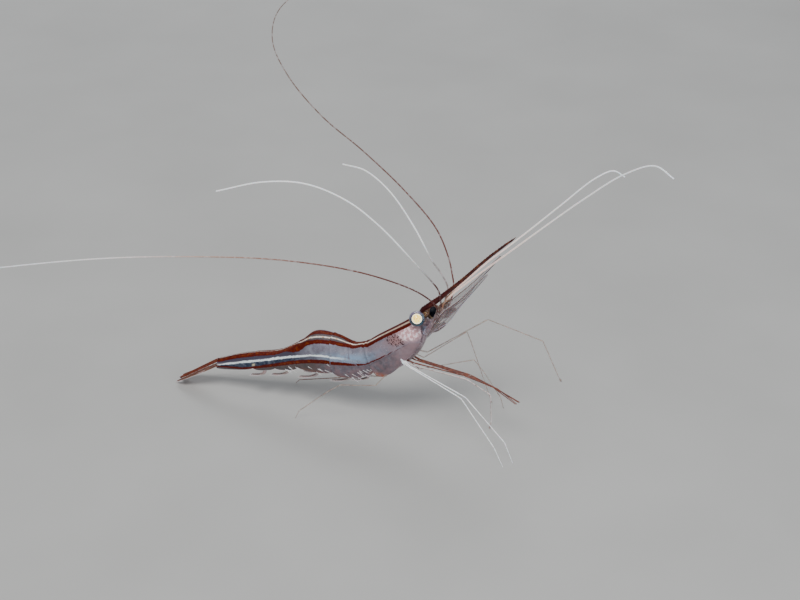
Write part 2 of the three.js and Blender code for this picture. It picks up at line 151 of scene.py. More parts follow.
def shellPart(grid, thickness, rim=0.35, rimRows=3.0, **values):  # a thin plate with a finer edge
    rows, columns = grid.shape[:2]
    outward = unit(np.cross(np.gradient(grid, axis=0), np.gradient(grid, axis=1)))
    outward *= 1 if np.sum(outward * (grid - grid.mean((0, 1)))) > 0 else -1
    nearRow = np.minimum(np.arange(rows), np.arange(rows)[::-1])
    nearColumn = np.minimum(np.arange(columns), np.arange(columns)[::-1])
    inside = np.minimum(np.minimum.outer(nearRow, nearColumn) / rimRows, 1)
    depth = thickness * (rim + (1 - rim) * inside)[..., None]
    inner = grid - outward * depth
    points = np.vstack([grid.reshape(-1, 3), inner.reshape(-1, 3)])
    below = rows * columns
    faces = []
    for i in range(rows - 1):
        for j in range(columns - 1):
            a = i * columns + j
            quad = (a, a + columns, a + columns + 1, a + 1)
            faces.append(quad)
            faces.append(tuple(v + below for v in reversed(quad)))
    edge = list(range(columns))
    edge += [i * columns + columns - 1 for i in range(1, rows)]
    edge += [(rows - 1) * columns + j for j in range(columns - 2, -1, -1)]
    edge += [i * columns for i in range(rows - 2, 0, -1)]
    for a, b in zip(edge, edge[1:] + edge[:1]):
        faces.append((a, b, b + below, a + below))
    both = {name: np.tile(np.asarray(value, float).reshape(-1), 2) for name, value in values.items()}
    return part(points, facingOut(points, faces), **both)


def roundedTube(points, radii, uprightRadii=None, count=30, corners=16, endShare=0.07, bluntness=0.02):
    path = smoothRoute(points, count)  # a bulging limb with round ends
    places = np.linspace(0, len(points) - 1, count)
    radius = np.interp(places, range(len(radii)), radii)
    upright = radius if uprightRadii is None else np.interp(places, range(len(uprightRadii)), uprightRadii)
    ends = np.minimum(np.linspace(0, 1, count), np.linspace(1, 0, count))
    cap = np.sqrt(np.clip(1 - (1 - np.clip(ends / endShare, bluntness, 1)) ** 2, 0, 1))
    return tubePart(ringsAlong(path, radius * cap, upright * cap, corners))


def joined(*parts):
    names = {name for piece in parts for name in piece["values"]}
    points, faces, start = [], [], 0
    values = {name: [] for name in names}
    for piece in parts:
        count = len(piece["points"])
        points.append(piece["points"])
        faces.extend(tuple(v + start for v in face) for face in piece["faces"])
        for name in names:
            values[name].append(np.broadcast_to(piece["values"].get(name, 0.0), count))
        start += count
    return part(np.vstack(points), faces, **{name: np.concatenate(v) for name, v in values.items()})


def meshOf(name, shape):
    mesh = bpy.data.meshes.new(name)
    mesh.from_pydata(inFrame(shape["points"]).tolist(), [], shape["faces"])
    for valueName, values in shape["values"].items():
        layer = mesh.attributes.new(valueName, "FLOAT", "POINT")
        layer.data.foreach_set("value", np.asarray(values, np.float32))
    mesh.polygons.foreach_set("use_smooth", [True] * len(mesh.polygons))
    mesh.update()
    return mesh


def addPiece(name, mesh, material, slotName, *nodes):
    piece = bpy.data.objects.new(name, mesh)
    bpy.context.scene.collection.objects.link(piece)
    if material:
        mesh.materials.clear()
        mesh.materials.append(material)
    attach(piece, "root")
    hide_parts(*nodes)
    return piece


# Node trees that grow rows of bristles and ringed feelers.

def addNode(tree, kind, inputs=None, **settings):
    node = tree.nodes.new(kind)
    for name, value in settings.items():
        setattr(node, name, value)
    for name, value in (inputs or {}).items():
        target = node.inputs[name]
        if isinstance(value, bpy.types.NodeSocket):
            tree.links.new(value, target)
        else:
            target.default_value = value
    return node


def startGeometryTree(name, inputs):
    tree = bpy.data.node_groups.new(name, "GeometryNodeTree")
    tree.interface.new_socket(name="Geometry", in_out="OUTPUT", socket_type="NodeSocketGeometry")
    base = tree.interface.new_socket(name="Geometry", in_out="INPUT", socket_type="NodeSocketGeometry")
    keys = {"Geometry": base.identifier}
    for inputName, kind in inputs:
        socket = tree.interface.new_socket(name=inputName, in_out="INPUT", socket_type=kind)
        keys[inputName] = socket.identifier
    start = tree.nodes.new("NodeGroupInput")
    return tree, start, keys


def endGeometryTree(tree, geometry, material):
    real = addNode(tree, "GeometryNodeRealizeInstances", {"Geometry": geometry})
    smooth = addNode(tree, "GeometryNodeSetShadeSmooth", {"Geometry": real.outputs[0]})
    painted = addNode(tree, "GeometryNodeSetMaterial", {"Geometry": smooth.outputs[0], "Material": material})
    end = tree.nodes.new("NodeGroupOutput")
    tree.links.new(painted.outputs[0], end.inputs[0])


def makeBristleTree():  # a tapering hair or spine on every point, aimed along "aim" and as long as "reach"
    tree, start, keys = startGeometryTree("bristle row", [
        ("Thickness", "NodeSocketFloat"), ("Flatness", "NodeSocketFloat"), ("Corners", "NodeSocketInt"),
        ("Uneven", "NodeSocketFloat"), ("Seed", "NodeSocketInt"), ("Finish", "NodeSocketMaterial")])
    hair = addNode(tree, "GeometryNodeMeshCone", {
        "Vertices": start.outputs["Corners"], "Side Segments": 3, "Radius Top": 0.1, "Radius Bottom": 1.0,
        "Depth": 1.0})
    aim = addNode(tree, "GeometryNodeInputNamedAttribute", {"Name": "aim"}, data_type="FLOAT_VECTOR")
    reach = addNode(tree, "GeometryNodeInputNamedAttribute", {"Name": "reach"}, data_type="FLOAT")
    turn = addNode(tree, "FunctionNodeAlignRotationToVector", {"Vector": aim.outputs[0]}, axis="Z")
    low = addNode(tree, "ShaderNodeMath", {0: 1.0, 1: start.outputs["Uneven"]}, operation="SUBTRACT")
    chance = addNode(tree, "FunctionNodeRandomValue", {
        "Min": low.outputs[0], "Max": 1.0, "Seed": start.outputs["Seed"]}, data_type="FLOAT")
    length = addNode(tree, "ShaderNodeMath", {0: reach.outputs[0], 1: chance.outputs["Value"]},
                     operation="MULTIPLY")
    flat = addNode(tree, "ShaderNodeMath", {
        0: start.outputs["Thickness"], 1: start.outputs["Flatness"]}, operation="MULTIPLY")
    size = addNode(tree, "ShaderNodeCombineXYZ", {
        "X": start.outputs["Thickness"], "Y": flat.outputs[0], "Z": length.outputs[0]})
    row = addNode(tree, "GeometryNodeInstanceOnPoints", {
        "Points": start.outputs["Geometry"], "Instance": hair.outputs["Mesh"],
        "Rotation": turn.outputs[0], "Scale": size.outputs[0]})
    endGeometryTree(tree, row.outputs[0], start.outputs["Finish"])
    return tree, keys


def makeFeelerTree():  # a tapering rod along the route, with a shallow groove between its many short rings
    tree, start, keys = startGeometryTree("ringed feeler", [
        ("Root radius", "NodeSocketFloat"), ("Tip radius", "NodeSocketFloat"), ("Rings", "NodeSocketInt"),
        ("Groove", "NodeSocketFloat"), ("Corners", "NodeSocketInt"), ("Finish", "NodeSocketMaterial")])
    stopsPerRing = 3.0  # the first of them lies in the groove
    curve = addNode(tree, "GeometryNodeMeshToCurve", {"Mesh": start.outputs["Geometry"]})
    count = addNode(tree, "ShaderNodeMath", {
        0: start.outputs["Rings"], 1: stopsPerRing, 2: 1.0}, operation="MULTIPLY_ADD")
    stops = addNode(tree, "GeometryNodeResampleCurve", {"Curve": curve.outputs[0], "Count": count.outputs[0]})
    spline = addNode(tree, "GeometryNodeSplineParameter")
    along = addNode(tree, "GeometryNodeStoreNamedAttribute", {
        "Geometry": stops.outputs[0], "Name": "along", "Value": spline.outputs["Factor"]},
        data_type="FLOAT", domain="POINT")
    place = addNode(tree, "ShaderNodeMath", {
        0: spline.outputs["Index"], 1: stopsPerRing}, operation="MODULO")
    inGroove = addNode(tree, "ShaderNodeMath", {0: place.outputs[0], 1: 0.5}, operation="LESS_THAN")
    waist = addNode(tree, "ShaderNodeMath", {
        0: inGroove.outputs[0], 1: start.outputs["Groove"]}, operation="MULTIPLY")
    fullness = addNode(tree, "ShaderNodeMath", {0: 1.0, 1: waist.outputs[0]}, operation="SUBTRACT")
    taper = addNode(tree, "ShaderNodeMapRange", {
        "Value": spline.outputs["Factor"],
        "To Min": start.outputs["Root radius"], "To Max": start.outputs["Tip radius"]})
    radius = addNode(tree, "ShaderNodeMath", {0: taper.outputs[0], 1: fullness.outputs[0]},
                     operation="MULTIPLY")
    outline = addNode(tree, "GeometryNodeCurvePrimitiveCircle", {
        "Resolution": start.outputs["Corners"], "Radius": 1.0})
    rod = addNode(tree, "GeometryNodeCurveToMesh", {
        "Curve": along.outputs[0], "Profile Curve": outline.outputs[0],
        "Scale": radius.outputs[0], "Fill Caps": True})
    endGeometryTree(tree, rod.outputs[0], start.outputs["Finish"])
    return tree, keys


bristleTree, bristleKeys = makeBristleTree()
feelerTree, feelerKeys = makeFeelerTree()


def grownMesh(name, base, tree, keys, settings):
    holder = bpy.data.objects.new(name + "Base", base)
    bpy.context.scene.collection.objects.link(holder)
    modifier = holder.modifiers.new("grow", "NODES")
    modifier.node_group = tree
    for inputName, value in settings.items():
        modifier[keys[inputName]] = value
    evaluated = holder.evaluated_get(bpy.context.evaluated_depsgraph_get())
    grown = bpy.data.meshes.new_from_object(evaluated)
    grown.name = name
    bpy.data.objects.remove(holder)
    return grown


def bristleMesh(name, roots, aims, reaches, finish, thickness, flatness=1.0, corners=4, uneven=0.3, seed=1):
    base = bpy.data.meshes.new(name + "Roots")
    base.from_pydata(inFrame(roots).tolist(), [], [])
    base.attributes.new("aim", "FLOAT_VECTOR", "POINT").data.foreach_set(
        "vector", np.asarray(unit(aims), np.float32).reshape(-1))
    base.attributes.new("reach", "FLOAT", "POINT").data.foreach_set(
        "value", (np.broadcast_to(reaches, len(roots)) * millimetre).astype(np.float32))
    return grownMesh(name, base, bristleTree, bristleKeys, {
        "Thickness": thickness * millimetre, "Flatness": flatness, "Corners": corners,
        "Uneven": uneven, "Seed": seed, "Finish": finish})


def feelerMesh(name, route, finish, rootRadius, tipRadius, rings, groove=0.12, corners=8, stops=160):
    path = smoothRoute(route, stops)
    base = bpy.data.meshes.new(name + "Route")
    base.from_pydata(inFrame(path).tolist(), [(k, k + 1) for k in range(len(path) - 1)], [])
    return grownMesh(name, base, feelerTree, feelerKeys, {
        "Root radius": rootRadius * millimetre, "Tip radius": tipRadius * millimetre, "Rings": rings,
        "Groove": groove, "Corners": corners, "Finish": finish})


# Finishes. All are procedural, in object coordinates or by values stored on the points.

def tone(red, green, blue):  # screen values 0-255 to a shader colour
    def linear(value):
        value /= 255
        return value / 12.92 if value <= 0.04045 else ((value + 0.055) / 1.055) ** 2.4
    return (linear(red), linear(green), linear(blue), 1.0)


class Finish:
    def __init__(self, name, **constants):
        self.material = bpy.data.materials.new(name)
        self.material.use_nodes = True
        self.tree = self.material.node_tree
        self.shader = self.tree.nodes["Principled BSDF"]
        for socket, value in constants.items():
            self.shader.inputs[socket.replace("_", " ")].default_value = value
        place = addNode(self.tree, "ShaderNodeTexCoord")
        self.place = addNode(self.tree, "ShaderNodeVectorMath", {
            0: place.outputs["Object"], "Scale": 1 / millimetre}, operation="SCALE").outputs[0]

    def value(self, name):
        return addNode(self.tree, "ShaderNodeAttribute", attribute_name=name).outputs["Fac"]

    def math(self, operation, a, b=0.0, c=0.0, clamp=False):
        return addNode(self.tree, "ShaderNodeMath", {0: a, 1: b, 2: c}, operation=operation,
                       use_clamp=clamp).outputs[0]

    def noise(self, scale, detail=3.0, roughness=0.5, stretch=None):
        place = self.place
        if stretch:
            place = addNode(self.tree, "ShaderNodeVectorMath", {0: place, 1: stretch},
                            operation="MULTIPLY").outputs[0]
        return addNode(self.tree, "ShaderNodeTexNoise", {
            "Vector": place, "Scale": scale, "Detail": detail, "Roughness": roughness}).outputs["Fac"]

    def dots(self, scale, size, randomness=1.0, soft=0.1):  # 1 inside small round spots
        cells = addNode(self.tree, "ShaderNodeTexVoronoi", {
            "Vector": self.place, "Scale": scale, "Randomness": randomness})
        return self.fade(cells.outputs["Distance"], size + soft, size - soft)

    def fade(self, value, low, high):  # 0 at low, 1 at high, smooth between
        return addNode(self.tree, "ShaderNodeMapRange", {
            "Value": value, "From Min": low, "From Max": high}, interpolation_type="SMOOTHSTEP").outputs[0]

    def band(self, value, centre, half, soft):  # 1 within half of the centre
        off = self.math("ABSOLUTE", self.math("SUBTRACT", value, centre))
        return self.fade(off, half + soft, half - soft)

    def both(self, *masks):
        result = masks[0]
        for mask in masks[1:]:
            result = self.math("MULTIPLY", result, mask, clamp=True)
        return result

    def ramp(self, value, *stops):
        node = addNode(self.tree, "ShaderNodeValToRGB", {"Fac": value})
        elements = node.color_ramp.elements
        while len(elements) < len(stops):
            elements.new(0.5)
        for element, (position, color) in zip(elements, stops):
            element.position = position
            element.color = color
        return node.outputs["Color"]

    def over(self, under, color, mask):  # paint a colour over another where the mask is 1
        return addNode(self.tree, "ShaderNodeMix", {0: mask, 6: under, 7: color}, data_type="RGBA").outputs[2]

    def tint(self, under, color, mask, strength):  # the same, in a thinner coat
        return self.over(under, color, self.math("MULTIPLY", mask, strength))

    def drive(self, socket, value):
        self.tree.links.new(value, self.shader.inputs[socket])

    def paint(self, color, glowing=False):
        self.drive("Base Color", color)
        if glowing:
            self.drive("Emission Color", color)

    def bump(self, height, strength, distance):
        node = addNode(self.tree, "ShaderNodeBump", {
            "Height": height, "Strength": strength, "Distance": distance * millimetre})
        self.tree.links.new(node.outputs[0], self.shader.inputs["Normal"])


shellTones = {
    "flank": (tone(116, 112, 124), tone(136, 134, 148), tone(156, 158, 172)), "rosy": tone(158, 138, 148),
    "paintedBlueHighlight": tone(146, 176, 206), "sparkle": tone(206, 218, 232), "rearFlank": tone(80, 76, 92),
    "slate": (tone(46, 56, 78), tone(80, 88, 106), tone(118, 122, 134)), "cream": tone(226, 212, 178),
    "lower": (tone(104, 96, 104), tone(116, 110, 120), tone(134, 130, 140)), "lowerWarm": tone(144, 116, 122),
    "paintedLightLowerFront": tone(160, 134, 140), "lowerRear": tone(84, 76, 70),
    "cheek": tone(236, 182, 186), "cheekBlotch": tone(255, 232, 240),
    "speckledSkin": tone(168, 126, 124), "speckle": tone(52, 16, 20), "sore": tone(172, 108, 90),
    "sideLine": tone(240, 250, 255), "besideBackLine": tone(92, 82, 80),
    "stripe": tone(92, 20, 10), "stripeCore": tone(128, 54, 16),
    "backLine": tone(244, 236, 226), "backLineWarm": tone(226, 176, 138),
    "backLineFront": tone(216, 168, 128),
}
shellGlow = {"lines": 0.18, "backLine": 0.6, "cheek": 0.22}  # light thrown back by the palest parts


def makeShellFinish():
    f = Finish("moist shell", Subsurface_Weight=0.2, Subsurface_Scale=0.0003,
               Coat_Roughness=0.18, Specular_IOR_Level=0.12)
    f.shader.inputs["Subsurface Radius"].default_value = (1.0, 0.6, 0.7)
    along, side, white = f.value("along"), f.value("aboveLateral"), f.value("aboveWhite")
    cheek, speckled = f.value("cheek"), f.value("speckled")
    lower = f.fade(side, 0.1, -0.5)

    def cloudy(name, noise, *places):
        return f.ramp(noise, *zip(places, shellTones[name]))

    # The flank, rosy to the front and slate to the rear; the blue in the middle is a painted highlight.
    color = cloudy("flank", f.noise(0.6, 5.0, 0.6), 0.3, 0.5, 0.7)
    rosy = f.both(f.fade(f.noise(0.4, 4.0, 0.6), 0.42, 0.6), f.fade(along, -6.0, 6.0))
    color = f.tint(color, shellTones["rosy"], rosy, 0.8)
    glow = f.both(f.band(along, -3.0, 6.0, 5.0), f.band(side, 1.5, 0.9, 1.0),
                  f.fade(f.noise(0.8, 3.0), 0.3, 0.55))
    color = f.tint(color, shellTones["paintedBlueHighlight"], glow, 0.85)
    # Painted glints: small bluish-white sparkles on the upper flank, toward the front.
    sparkle = f.both(f.dots(3.4, 0.2, 1.0, 0.12), f.fade(f.noise(1.1, 2.0), 0.45, 0.6),
                     f.fade(along, -22.0, -6.0))
    color = f.tint(color, shellTones["sparkle"], f.both(sparkle, f.band(side, 2.0, 2.0, 1.2)), 0.65)
    rear = f.both(f.fade(along, -12.0, -19.0), f.fade(white, 0.1, 0.5))
    color = f.over(color, shellTones["rearFlank"], rear)
    slate = cloudy("slate", f.noise(1.0, 4.0, 0.6), 0.4, 0.56, 0.68)
    color = f.over(color, slate, f.both(f.fade(along, -8.0, -18.0), f.fade(white, 0.1, -0.1)))
    # The lower side, under the red line.
    color = f.over(color, cloudy("lower", f.noise(1.0, 4.0, 0.6), 0.34, 0.52, 0.7), lower)
    warm = f.both(f.fade(side, -0.2, -1.2), f.fade(f.noise(0.9, 3.0), 0.45, 0.6))
    color = f.tint(color, shellTones["lowerWarm"], warm, 0.6)
    creamy = f.both(f.band(along, -28.5, 0.35, 0.25), f.band(side, 0.8, 0.3, 0.2))
    color = f.over(color, shellTones["cream"], creamy)
    # Painted light: the lower front faces down, and it is made lighter here.
    color = f.tint(color, shellTones["paintedLightLowerFront"], f.both(lower, f.fade(along, 6.0, 11.0)), 0.7)
    color = f.tint(color, shellTones["lowerRear"], f.both(lower, f.fade(along, -8.0, -13.0)), 0.7)
    # The blotched cheek and the speckles behind it.
    color = f.tint(color, shellTones["cheek"], cheek, 0.9)
    blotch = f.both(f.fade(f.noise(1.4, 4.0, 0.65), 0.46, 0.6), f.fade(cheek, 0.15, 0.75))
    color = f.over(color, shellTones["cheekBlotch"], blotch)
    color = f.tint(color, shellTones["speckledSkin"], speckled, 0.7)
    for scale, reach in ((2.2, 0.36), (3.8, 0.3)):
        spots = f.both(f.dots(scale, reach, 1.0, 0.06), f.fade(speckled, 0.25, 0.55))
        color = f.over(color, shellTones["speckle"], spots)
    color = f.over(color, shellTones["sore"], f.both(f.value("sore"), f.fade(f.noise(1.6, 3.0), 0.3, 0.5)))
    # The wavering white line of the side, partly a white stripe and partly a painted highlight.
    ragged = f.math("MULTIPLY_ADD", f.noise(2.4, 4.0), 0.3, -0.15)
    thinner = f.math("MULTIPLY_ADD", f.fade(along, -34.0, -39.0), 0.18, -0.25)  # toward the tail
    waver = f.math("MULTIPLY_ADD", f.noise(1.1, 3.0), 0.5, thinner)
    line = f.math("ADD", f.math("ADD", f.math("ABSOLUTE", white), waver), f.math("MULTIPLY", ragged, 0.8))
    shine = f.both(f.fade(line, 0.32, 0.15), f.fade(along, -2.0, -9.0))
    color = f.over(color, shellTones["sideLine"], shine)
    # The red lines of side and back, and the white one between those of the back.
    between = f.both(f.fade(f.value("dorsalWhite"), 1.2, 0.7), f.fade(ragged, -0.12, 0.0))
    color = f.tint(color, shellTones["besideBackLine"], between, 0.85)
    ink = f.noise(1.3, 3.0)

    def redAt(off):
        core = f.both(f.fade(off, -0.12, -0.42), f.fade(ink, 0.42, 0.66), f.fade(along, 8.0, -12.0))
        return f.over(shellTones["stripe"], shellTones["stripeCore"], core)

    lateral, dorsal = (f.math("ADD", f.value(name), ragged) for name in ("lateralRed", "dorsalRed"))
    color = f.over(color, redAt(lateral), f.both(f.fade(lateral, 0.07, -0.07), f.value("lateralInk")))
    red = f.fade(dorsal, 0.07, -0.07)
    color = f.over(color, redAt(dorsal), red)
    middle = f.math("ADD", f.value("dorsalWhite"), f.math("MULTIPLY", ragged, 0.6))
    backLine = f.ramp(f.noise(1.5, 3.0), (0.38, shellTones["backLineWarm"]), (0.52, shellTones["backLine"]))
    backLine = f.tint(backLine, shellTones["backLineFront"], f.fade(along, 1.0, 7.0), 0.6)
    pale = f.fade(middle, 0.06, -0.06)
    # Painted light: the white lines and the cheek's blotches glow.
    f.paint(f.over(color, backLine, pale), glowing=True)
    brightest = f.math("MAXIMUM", shine, f.math("MULTIPLY", pale, shellGlow["backLine"]))
    lineGlow = f.math("MULTIPLY", brightest, shellGlow["lines"])
    cheekGlow = f.math("MULTIPLY", blotch, shellGlow["cheek"])
    f.drive("Emission Strength", f.math("ADD", lineGlow, cheekGlow))
    # Moist between the red bands, duller on them.
    wet = f.math("MULTIPLY_ADD", f.noise(3.0, 3.0), 0.22, 0.28)
    f.drive("Roughness", f.math("MULTIPLY_ADD", red, 0.25, f.math("MULTIPLY_ADD", shine, -0.12, wet)))
    f.drive("Coat Weight", f.math("MULTIPLY_ADD", red, -0.06, 0.06))
    f.bump(f.math("ADD", f.noise(4.0, 3.0, 0.5), f.math("MULTIPLY", f.noise(10.0, 2.0), 0.25)), 0.4, 0.1)
    return f.material


skinTones = {
    "pale": (tone(120, 102, 114), tone(152, 134, 144), tone(188, 172, 180)),
    "brown": (tone(74, 46, 38), tone(126, 92, 74), tone(158, 130, 104)),
    "ahead": tone(100, 76, 70), "gold": tone(226, 186, 116), "rose": tone(240, 220, 226),
    "red": tone(120, 50, 40), "bluish": tone(196, 208, 240), "bead": tone(250, 238, 208),
}


def makeSkinFinish():
    f = Finish("head skin", Roughness=0.36, Subsurface_Weight=0.4, Subsurface_Scale=0.0007,
               Coat_Weight=0.35, Coat_Roughness=0.15, Specular_IOR_Level=0.4)
    f.shader.inputs["Subsurface Radius"].default_value = (1.0, 0.5, 0.5)
    below = f.value("below")  # millimetres below the rostrum's lower edge
    coarse, fine = f.noise(1.3, 5.0, 0.65), f.noise(2.6, 4.0, 0.65)
    pale = f.ramp(coarse, *zip((0.32, 0.5, 0.66), skinTones["pale"]))
    brown = f.ramp(coarse, *zip((0.34, 0.5, 0.66), skinTones["brown"]))
    height = f.math("MULTIPLY_ADD", coarse, 1.6, f.math("SUBTRACT", below, 0.8))
    color = f.over(brown, pale, f.fade(height, 0.9, 2.3))
    color = f.tint(color, skinTones["ahead"], f.fade(f.value("ahead"), 16.6, 18.0), 0.65)
    color = f.over(color, skinTones["gold"], f.both(f.dots(2.4, 0.26), f.fade(below, 2.4, 0.6),
                                                    f.fade(fine, 0.42, 0.52)))
    color = f.over(color, skinTones["rose"], f.both(f.dots(2.0, 0.24), f.fade(below, 0.8, 2.0),
                                                    f.fade(fine, 0.42, 0.54)))
    color = f.over(color, skinTones["red"], f.both(f.dots(3.0, 0.18), f.fade(fine, 0.56, 0.48)))
    color = f.over(color, skinTones["bluish"], f.both(f.value("bluish"), f.fade(fine, 0.36, 0.5)))
    color = f.over(color, skinTones["bead"], f.both(f.value("beaded"), f.fade(f.dots(2.2, 0.34), 0.2, 0.7)))
    f.paint(color)
    f.bump(f.math("ADD", coarse, f.math("MULTIPLY", f.noise(8.0, 3.0), 0.6)), 0.5, 0.12)
    return f.material


def makeFleshFinish(name, low, middle, high):
    f = Finish(name, Roughness=0.36, Subsurface_Weight=0.4, Subsurface_Scale=0.0008,
               Coat_Weight=0.3, Coat_Roughness=0.15)
    f.shader.inputs["Subsurface Radius"].default_value = (1.0, 0.45, 0.4)
    f.paint(f.ramp(f.noise(1.3, 5.0, 0.65), (0.34, low), (0.5, middle), (0.66, high)))
    f.bump(f.noise(5.0, 4.0), 0.4, 0.1)
    return f.material


def makeRostrumFinish():
    f = Finish("rostrum red", Roughness=0.38, Subsurface_Weight=0.12, Subsurface_Scale=0.0004,
               Coat_Weight=0.25, Coat_Roughness=0.2, Specular_IOR_Level=0.35)
    down, along = f.value("down"), f.value("along")
    streaks = f.noise(2.0, 4.0, 0.6, (0.4, 1.0, 0.4))
    dark = f.ramp(streaks, (0.36, tone(52, 8, 12)), (0.54, tone(74, 14, 14)), (0.7, tone(104, 38, 26)))
    brown = f.ramp(streaks, (0.4, tone(66, 26, 14)), (0.6, tone(122, 72, 40)))
    browned = f.both(f.fade(along, 0.44, 0.56), f.fade(down, 0.75, 0.3), f.fade(f.noise(0.7, 2.0), 0.4, 0.6))
    color = f.over(dark, brown, browned)
    color = f.over(color, tone(172, 132, 126), f.both(f.fade(down, 0.84, 1.0), f.fade(streaks, 0.42, 0.6)))
    f.paint(color)
    f.bump(f.noise(6.0, 3.0), 0.3, 0.08)
    return f.material


# lit gives a leg a painted glow; streak is the colour of a painted highlight along its upper side.
def makeLegFinish(name, dark, mid, light, streak=None, clear=1.0, lit=0.0):
    f = Finish(name, Roughness=0.36, Subsurface_Weight=0.2, Subsurface_Scale=0.0004,
               Coat_Weight=0.15, Coat_Roughness=0.15, Emission_Strength=lit)
    color = f.ramp(f.noise(1.1, 4.0, 0.6), (0.34, dark), (0.5, mid), (0.68, light))
    knuckle = f.value("knuckle")
    color = f.tint(color, light, knuckle, 0.6)
    if streak:  # a painted highlight: a bright line along the upper, outer side
        wave = f.math("MULTIPLY_ADD", f.noise(1.4, 2.0), 0.06, f.value("around"))
        broken = f.fade(f.noise(2.2, 3.0), 0.32, 0.44)
        color = f.over(color, streak, f.both(f.band(wave, 0.35, 0.1, 0.05), broken))
    f.paint(color, glowing=True)
    if clear < 1:
        f.drive("Alpha", f.math("MULTIPLY_ADD", knuckle, 0.3, clear, clamp=True))
    f.bump(f.noise(6.0, 3.0), 0.3, 0.06)
    return f.material


# Feelers and bristles glow a little in their own colour: painted light.
def makeFeelerFinish(name, stops):
    f = Finish(name, Roughness=0.4, Subsurface_Weight=0.15, Subsurface_Scale=0.0003, Coat_Weight=0.1,
               Emission_Strength=0.3)
    frosted = f.fade(f.noise(1.4, 3.0), 0.5, 0.62)
    color = f.tint(f.ramp(f.value("along"), *stops), tone(250, 250, 254), frosted, 0.2)
    f.paint(color, glowing=True)
    f.bump(f.noise(8.0, 2.0), 0.2, 0.04)
    return f.material


def makeBladeFinish(name, low, high, edge, clear, rims=None):
    f = Finish(name, Roughness=0.3, Subsurface_Weight=0.15, Subsurface_Scale=0.0004,
               Coat_Weight=0.35, Coat_Roughness=0.12)
    atEdge = f.value("edge")
    color = f.ramp(f.noise(1.4, 4.0, 0.6), (0.35, low), (0.65, high))
    color = f.over(color, edge, f.fade(atEdge, 0.3, 0.9))
    if rims:  # a painted glint of another colour along the outer rim, broken into short lengths
        other, least = rims
        glitter = f.fade(f.noise(2.6, 2.0), least, least + 0.08)
        color = f.over(color, other, f.both(f.fade(atEdge, 0.6, 0.9), f.fade(f.value("across"), 0.2, 0.7),
                                            glitter))
    f.paint(color)
    f.drive("Alpha", f.math("MULTIPLY_ADD", f.fade(atEdge, 0.35, 0.95), 1.0 - clear, clear, clamp=True))
    f.bump(f.noise(5.0, 3.0), 0.3, 0.06)
    return f.material


eyeTones = {
    "ball": (tone(36, 34, 44), tone(70, 62, 74)),
    "disc": (tone(255, 206, 72), tone(255, 232, 118), tone(255, 248, 186)),
    "discMarks": tone(228, 152, 62), "discMiddle": tone(238, 158, 66), "discRim": tone(255, 250, 238),
    "ring": (tone(150, 184, 202), tone(108, 128, 150), tone(176, 164, 190), tone(150, 140, 170),
             tone(86, 92, 116), tone(30, 66, 90), tone(26, 76, 104), tone(70, 118, 142), tone(150, 184, 202)),
    "ringBlots": tone(30, 34, 48), "ringInner": tone(26, 30, 42),
    "farBlack": (tone(8, 9, 14), tone(26, 34, 52)), "farGlass": (tone(40, 50, 66), tone(104, 108, 130)),
    "farSkin": (tone(84, 56, 46), tone(150, 118, 98)), "farEyeshineRim": tone(246, 224, 176),
}
eyeGlow = 1.35  # the light that the near eye's disc throws back


def eyeRamp(f, value, name, *places):
    return f.ramp(value, *zip(places, eyeTones[name]))


def makeEyeFinish():
    f = Finish("eye", Roughness=0.12, Coat_Weight=0.5, Coat_Roughness=0.04, Specular_IOR_Level=0.4)
    out, clock = f.value("out"), f.value("clock")  # out is 0 at the middle of the painted eyeshine disc, clock runs round it
    ball = eyeRamp(f, f.noise(5.0, 3.0, 0.6), "ball", 0.4, 0.6)
    # The disc is painted eyeshine, light thrown back from inside the eye; the ring round it holds painted
    # glints and reflections set by the clock.
    cream = eyeRamp(f, f.noise(2.4, 3.0), "disc", 0.36, 0.52, 0.66)
    marks = f.both(f.band(out, 0.2, 0.035, 0.035), f.fade(f.noise(3.0, 2.0), 0.44, 0.54))
    cream = f.tint(cream, eyeTones["discMarks"], marks, 0.8)
    cream = f.tint(cream, eyeTones["discMiddle"], f.fade(out, 0.09, 0.04), 0.8)
    cream = f.over(cream, eyeTones["discRim"], f.band(out, 0.4, 0.03, 0.03))
    ring = eyeRamp(f, clock, "ring", 0.0, 0.1, 0.22, 0.38, 0.52, 0.63, 0.8, 0.92, 1.0)
    ring = f.over(ring, eyeTones["ringBlots"], f.both(f.fade(f.noise(3.4, 3.0), 0.5, 0.6),
                                                      f.fade(out, 0.5, 0.6)))
    color = f.over(ball, ring, f.fade(out, 1.1, 0.85))
    color = f.over(color, eyeTones["ringInner"], f.band(out, 0.485, 0.03, 0.03))
    disc = f.fade(out, 0.455, 0.43)
    f.paint(f.over(color, cream, disc), glowing=True)
    f.drive("Emission Strength", f.math("MULTIPLY", disc, eyeGlow))
    f.bump(f.dots(9.0, 0.42, 0.4, 0.2), 0.12, 0.02)
    return f.material


def makeFarEyeFinish():
    f = Finish("far eye", Roughness=0.5, Coat_Weight=0.0, Specular_IOR_Level=0.2)
    out, clock, facing = f.value("out"), f.value("clock"), f.value("facing")
    black = eyeRamp(f, f.noise(7.0, 2.0), "farBlack", 0.4, 0.65)
    glass = eyeRamp(f, f.noise(3.0, 3.0), "farGlass", 0.36, 0.64)
    skin = eyeRamp(f, f.noise(2.0, 4.0), "farSkin", 0.36, 0.62)
    # A painted reflection: a broken gold-white rim at the lower right of the dark window.
    lower = f.fade(f.math("ABSOLUTE", f.math("SUBTRACT", clock, 0.87)), 0.3, 0.16)
    rim = f.both(f.band(out, 1.2, 0.17, 0.08), f.fade(f.noise(2.6, 3.0), 0.36, 0.46), lower)
    near = f.over(f.over(skin, eyeTones["farEyeshineRim"], rim), black, f.fade(out, 1.06, 0.94))
    f.paint(f.over(glass, near, f.fade(facing, -0.25, -0.1)))
    f.bump(f.dots(9.0, 0.42, 0.4, 0.2), 0.12, 0.02)
    return f.material


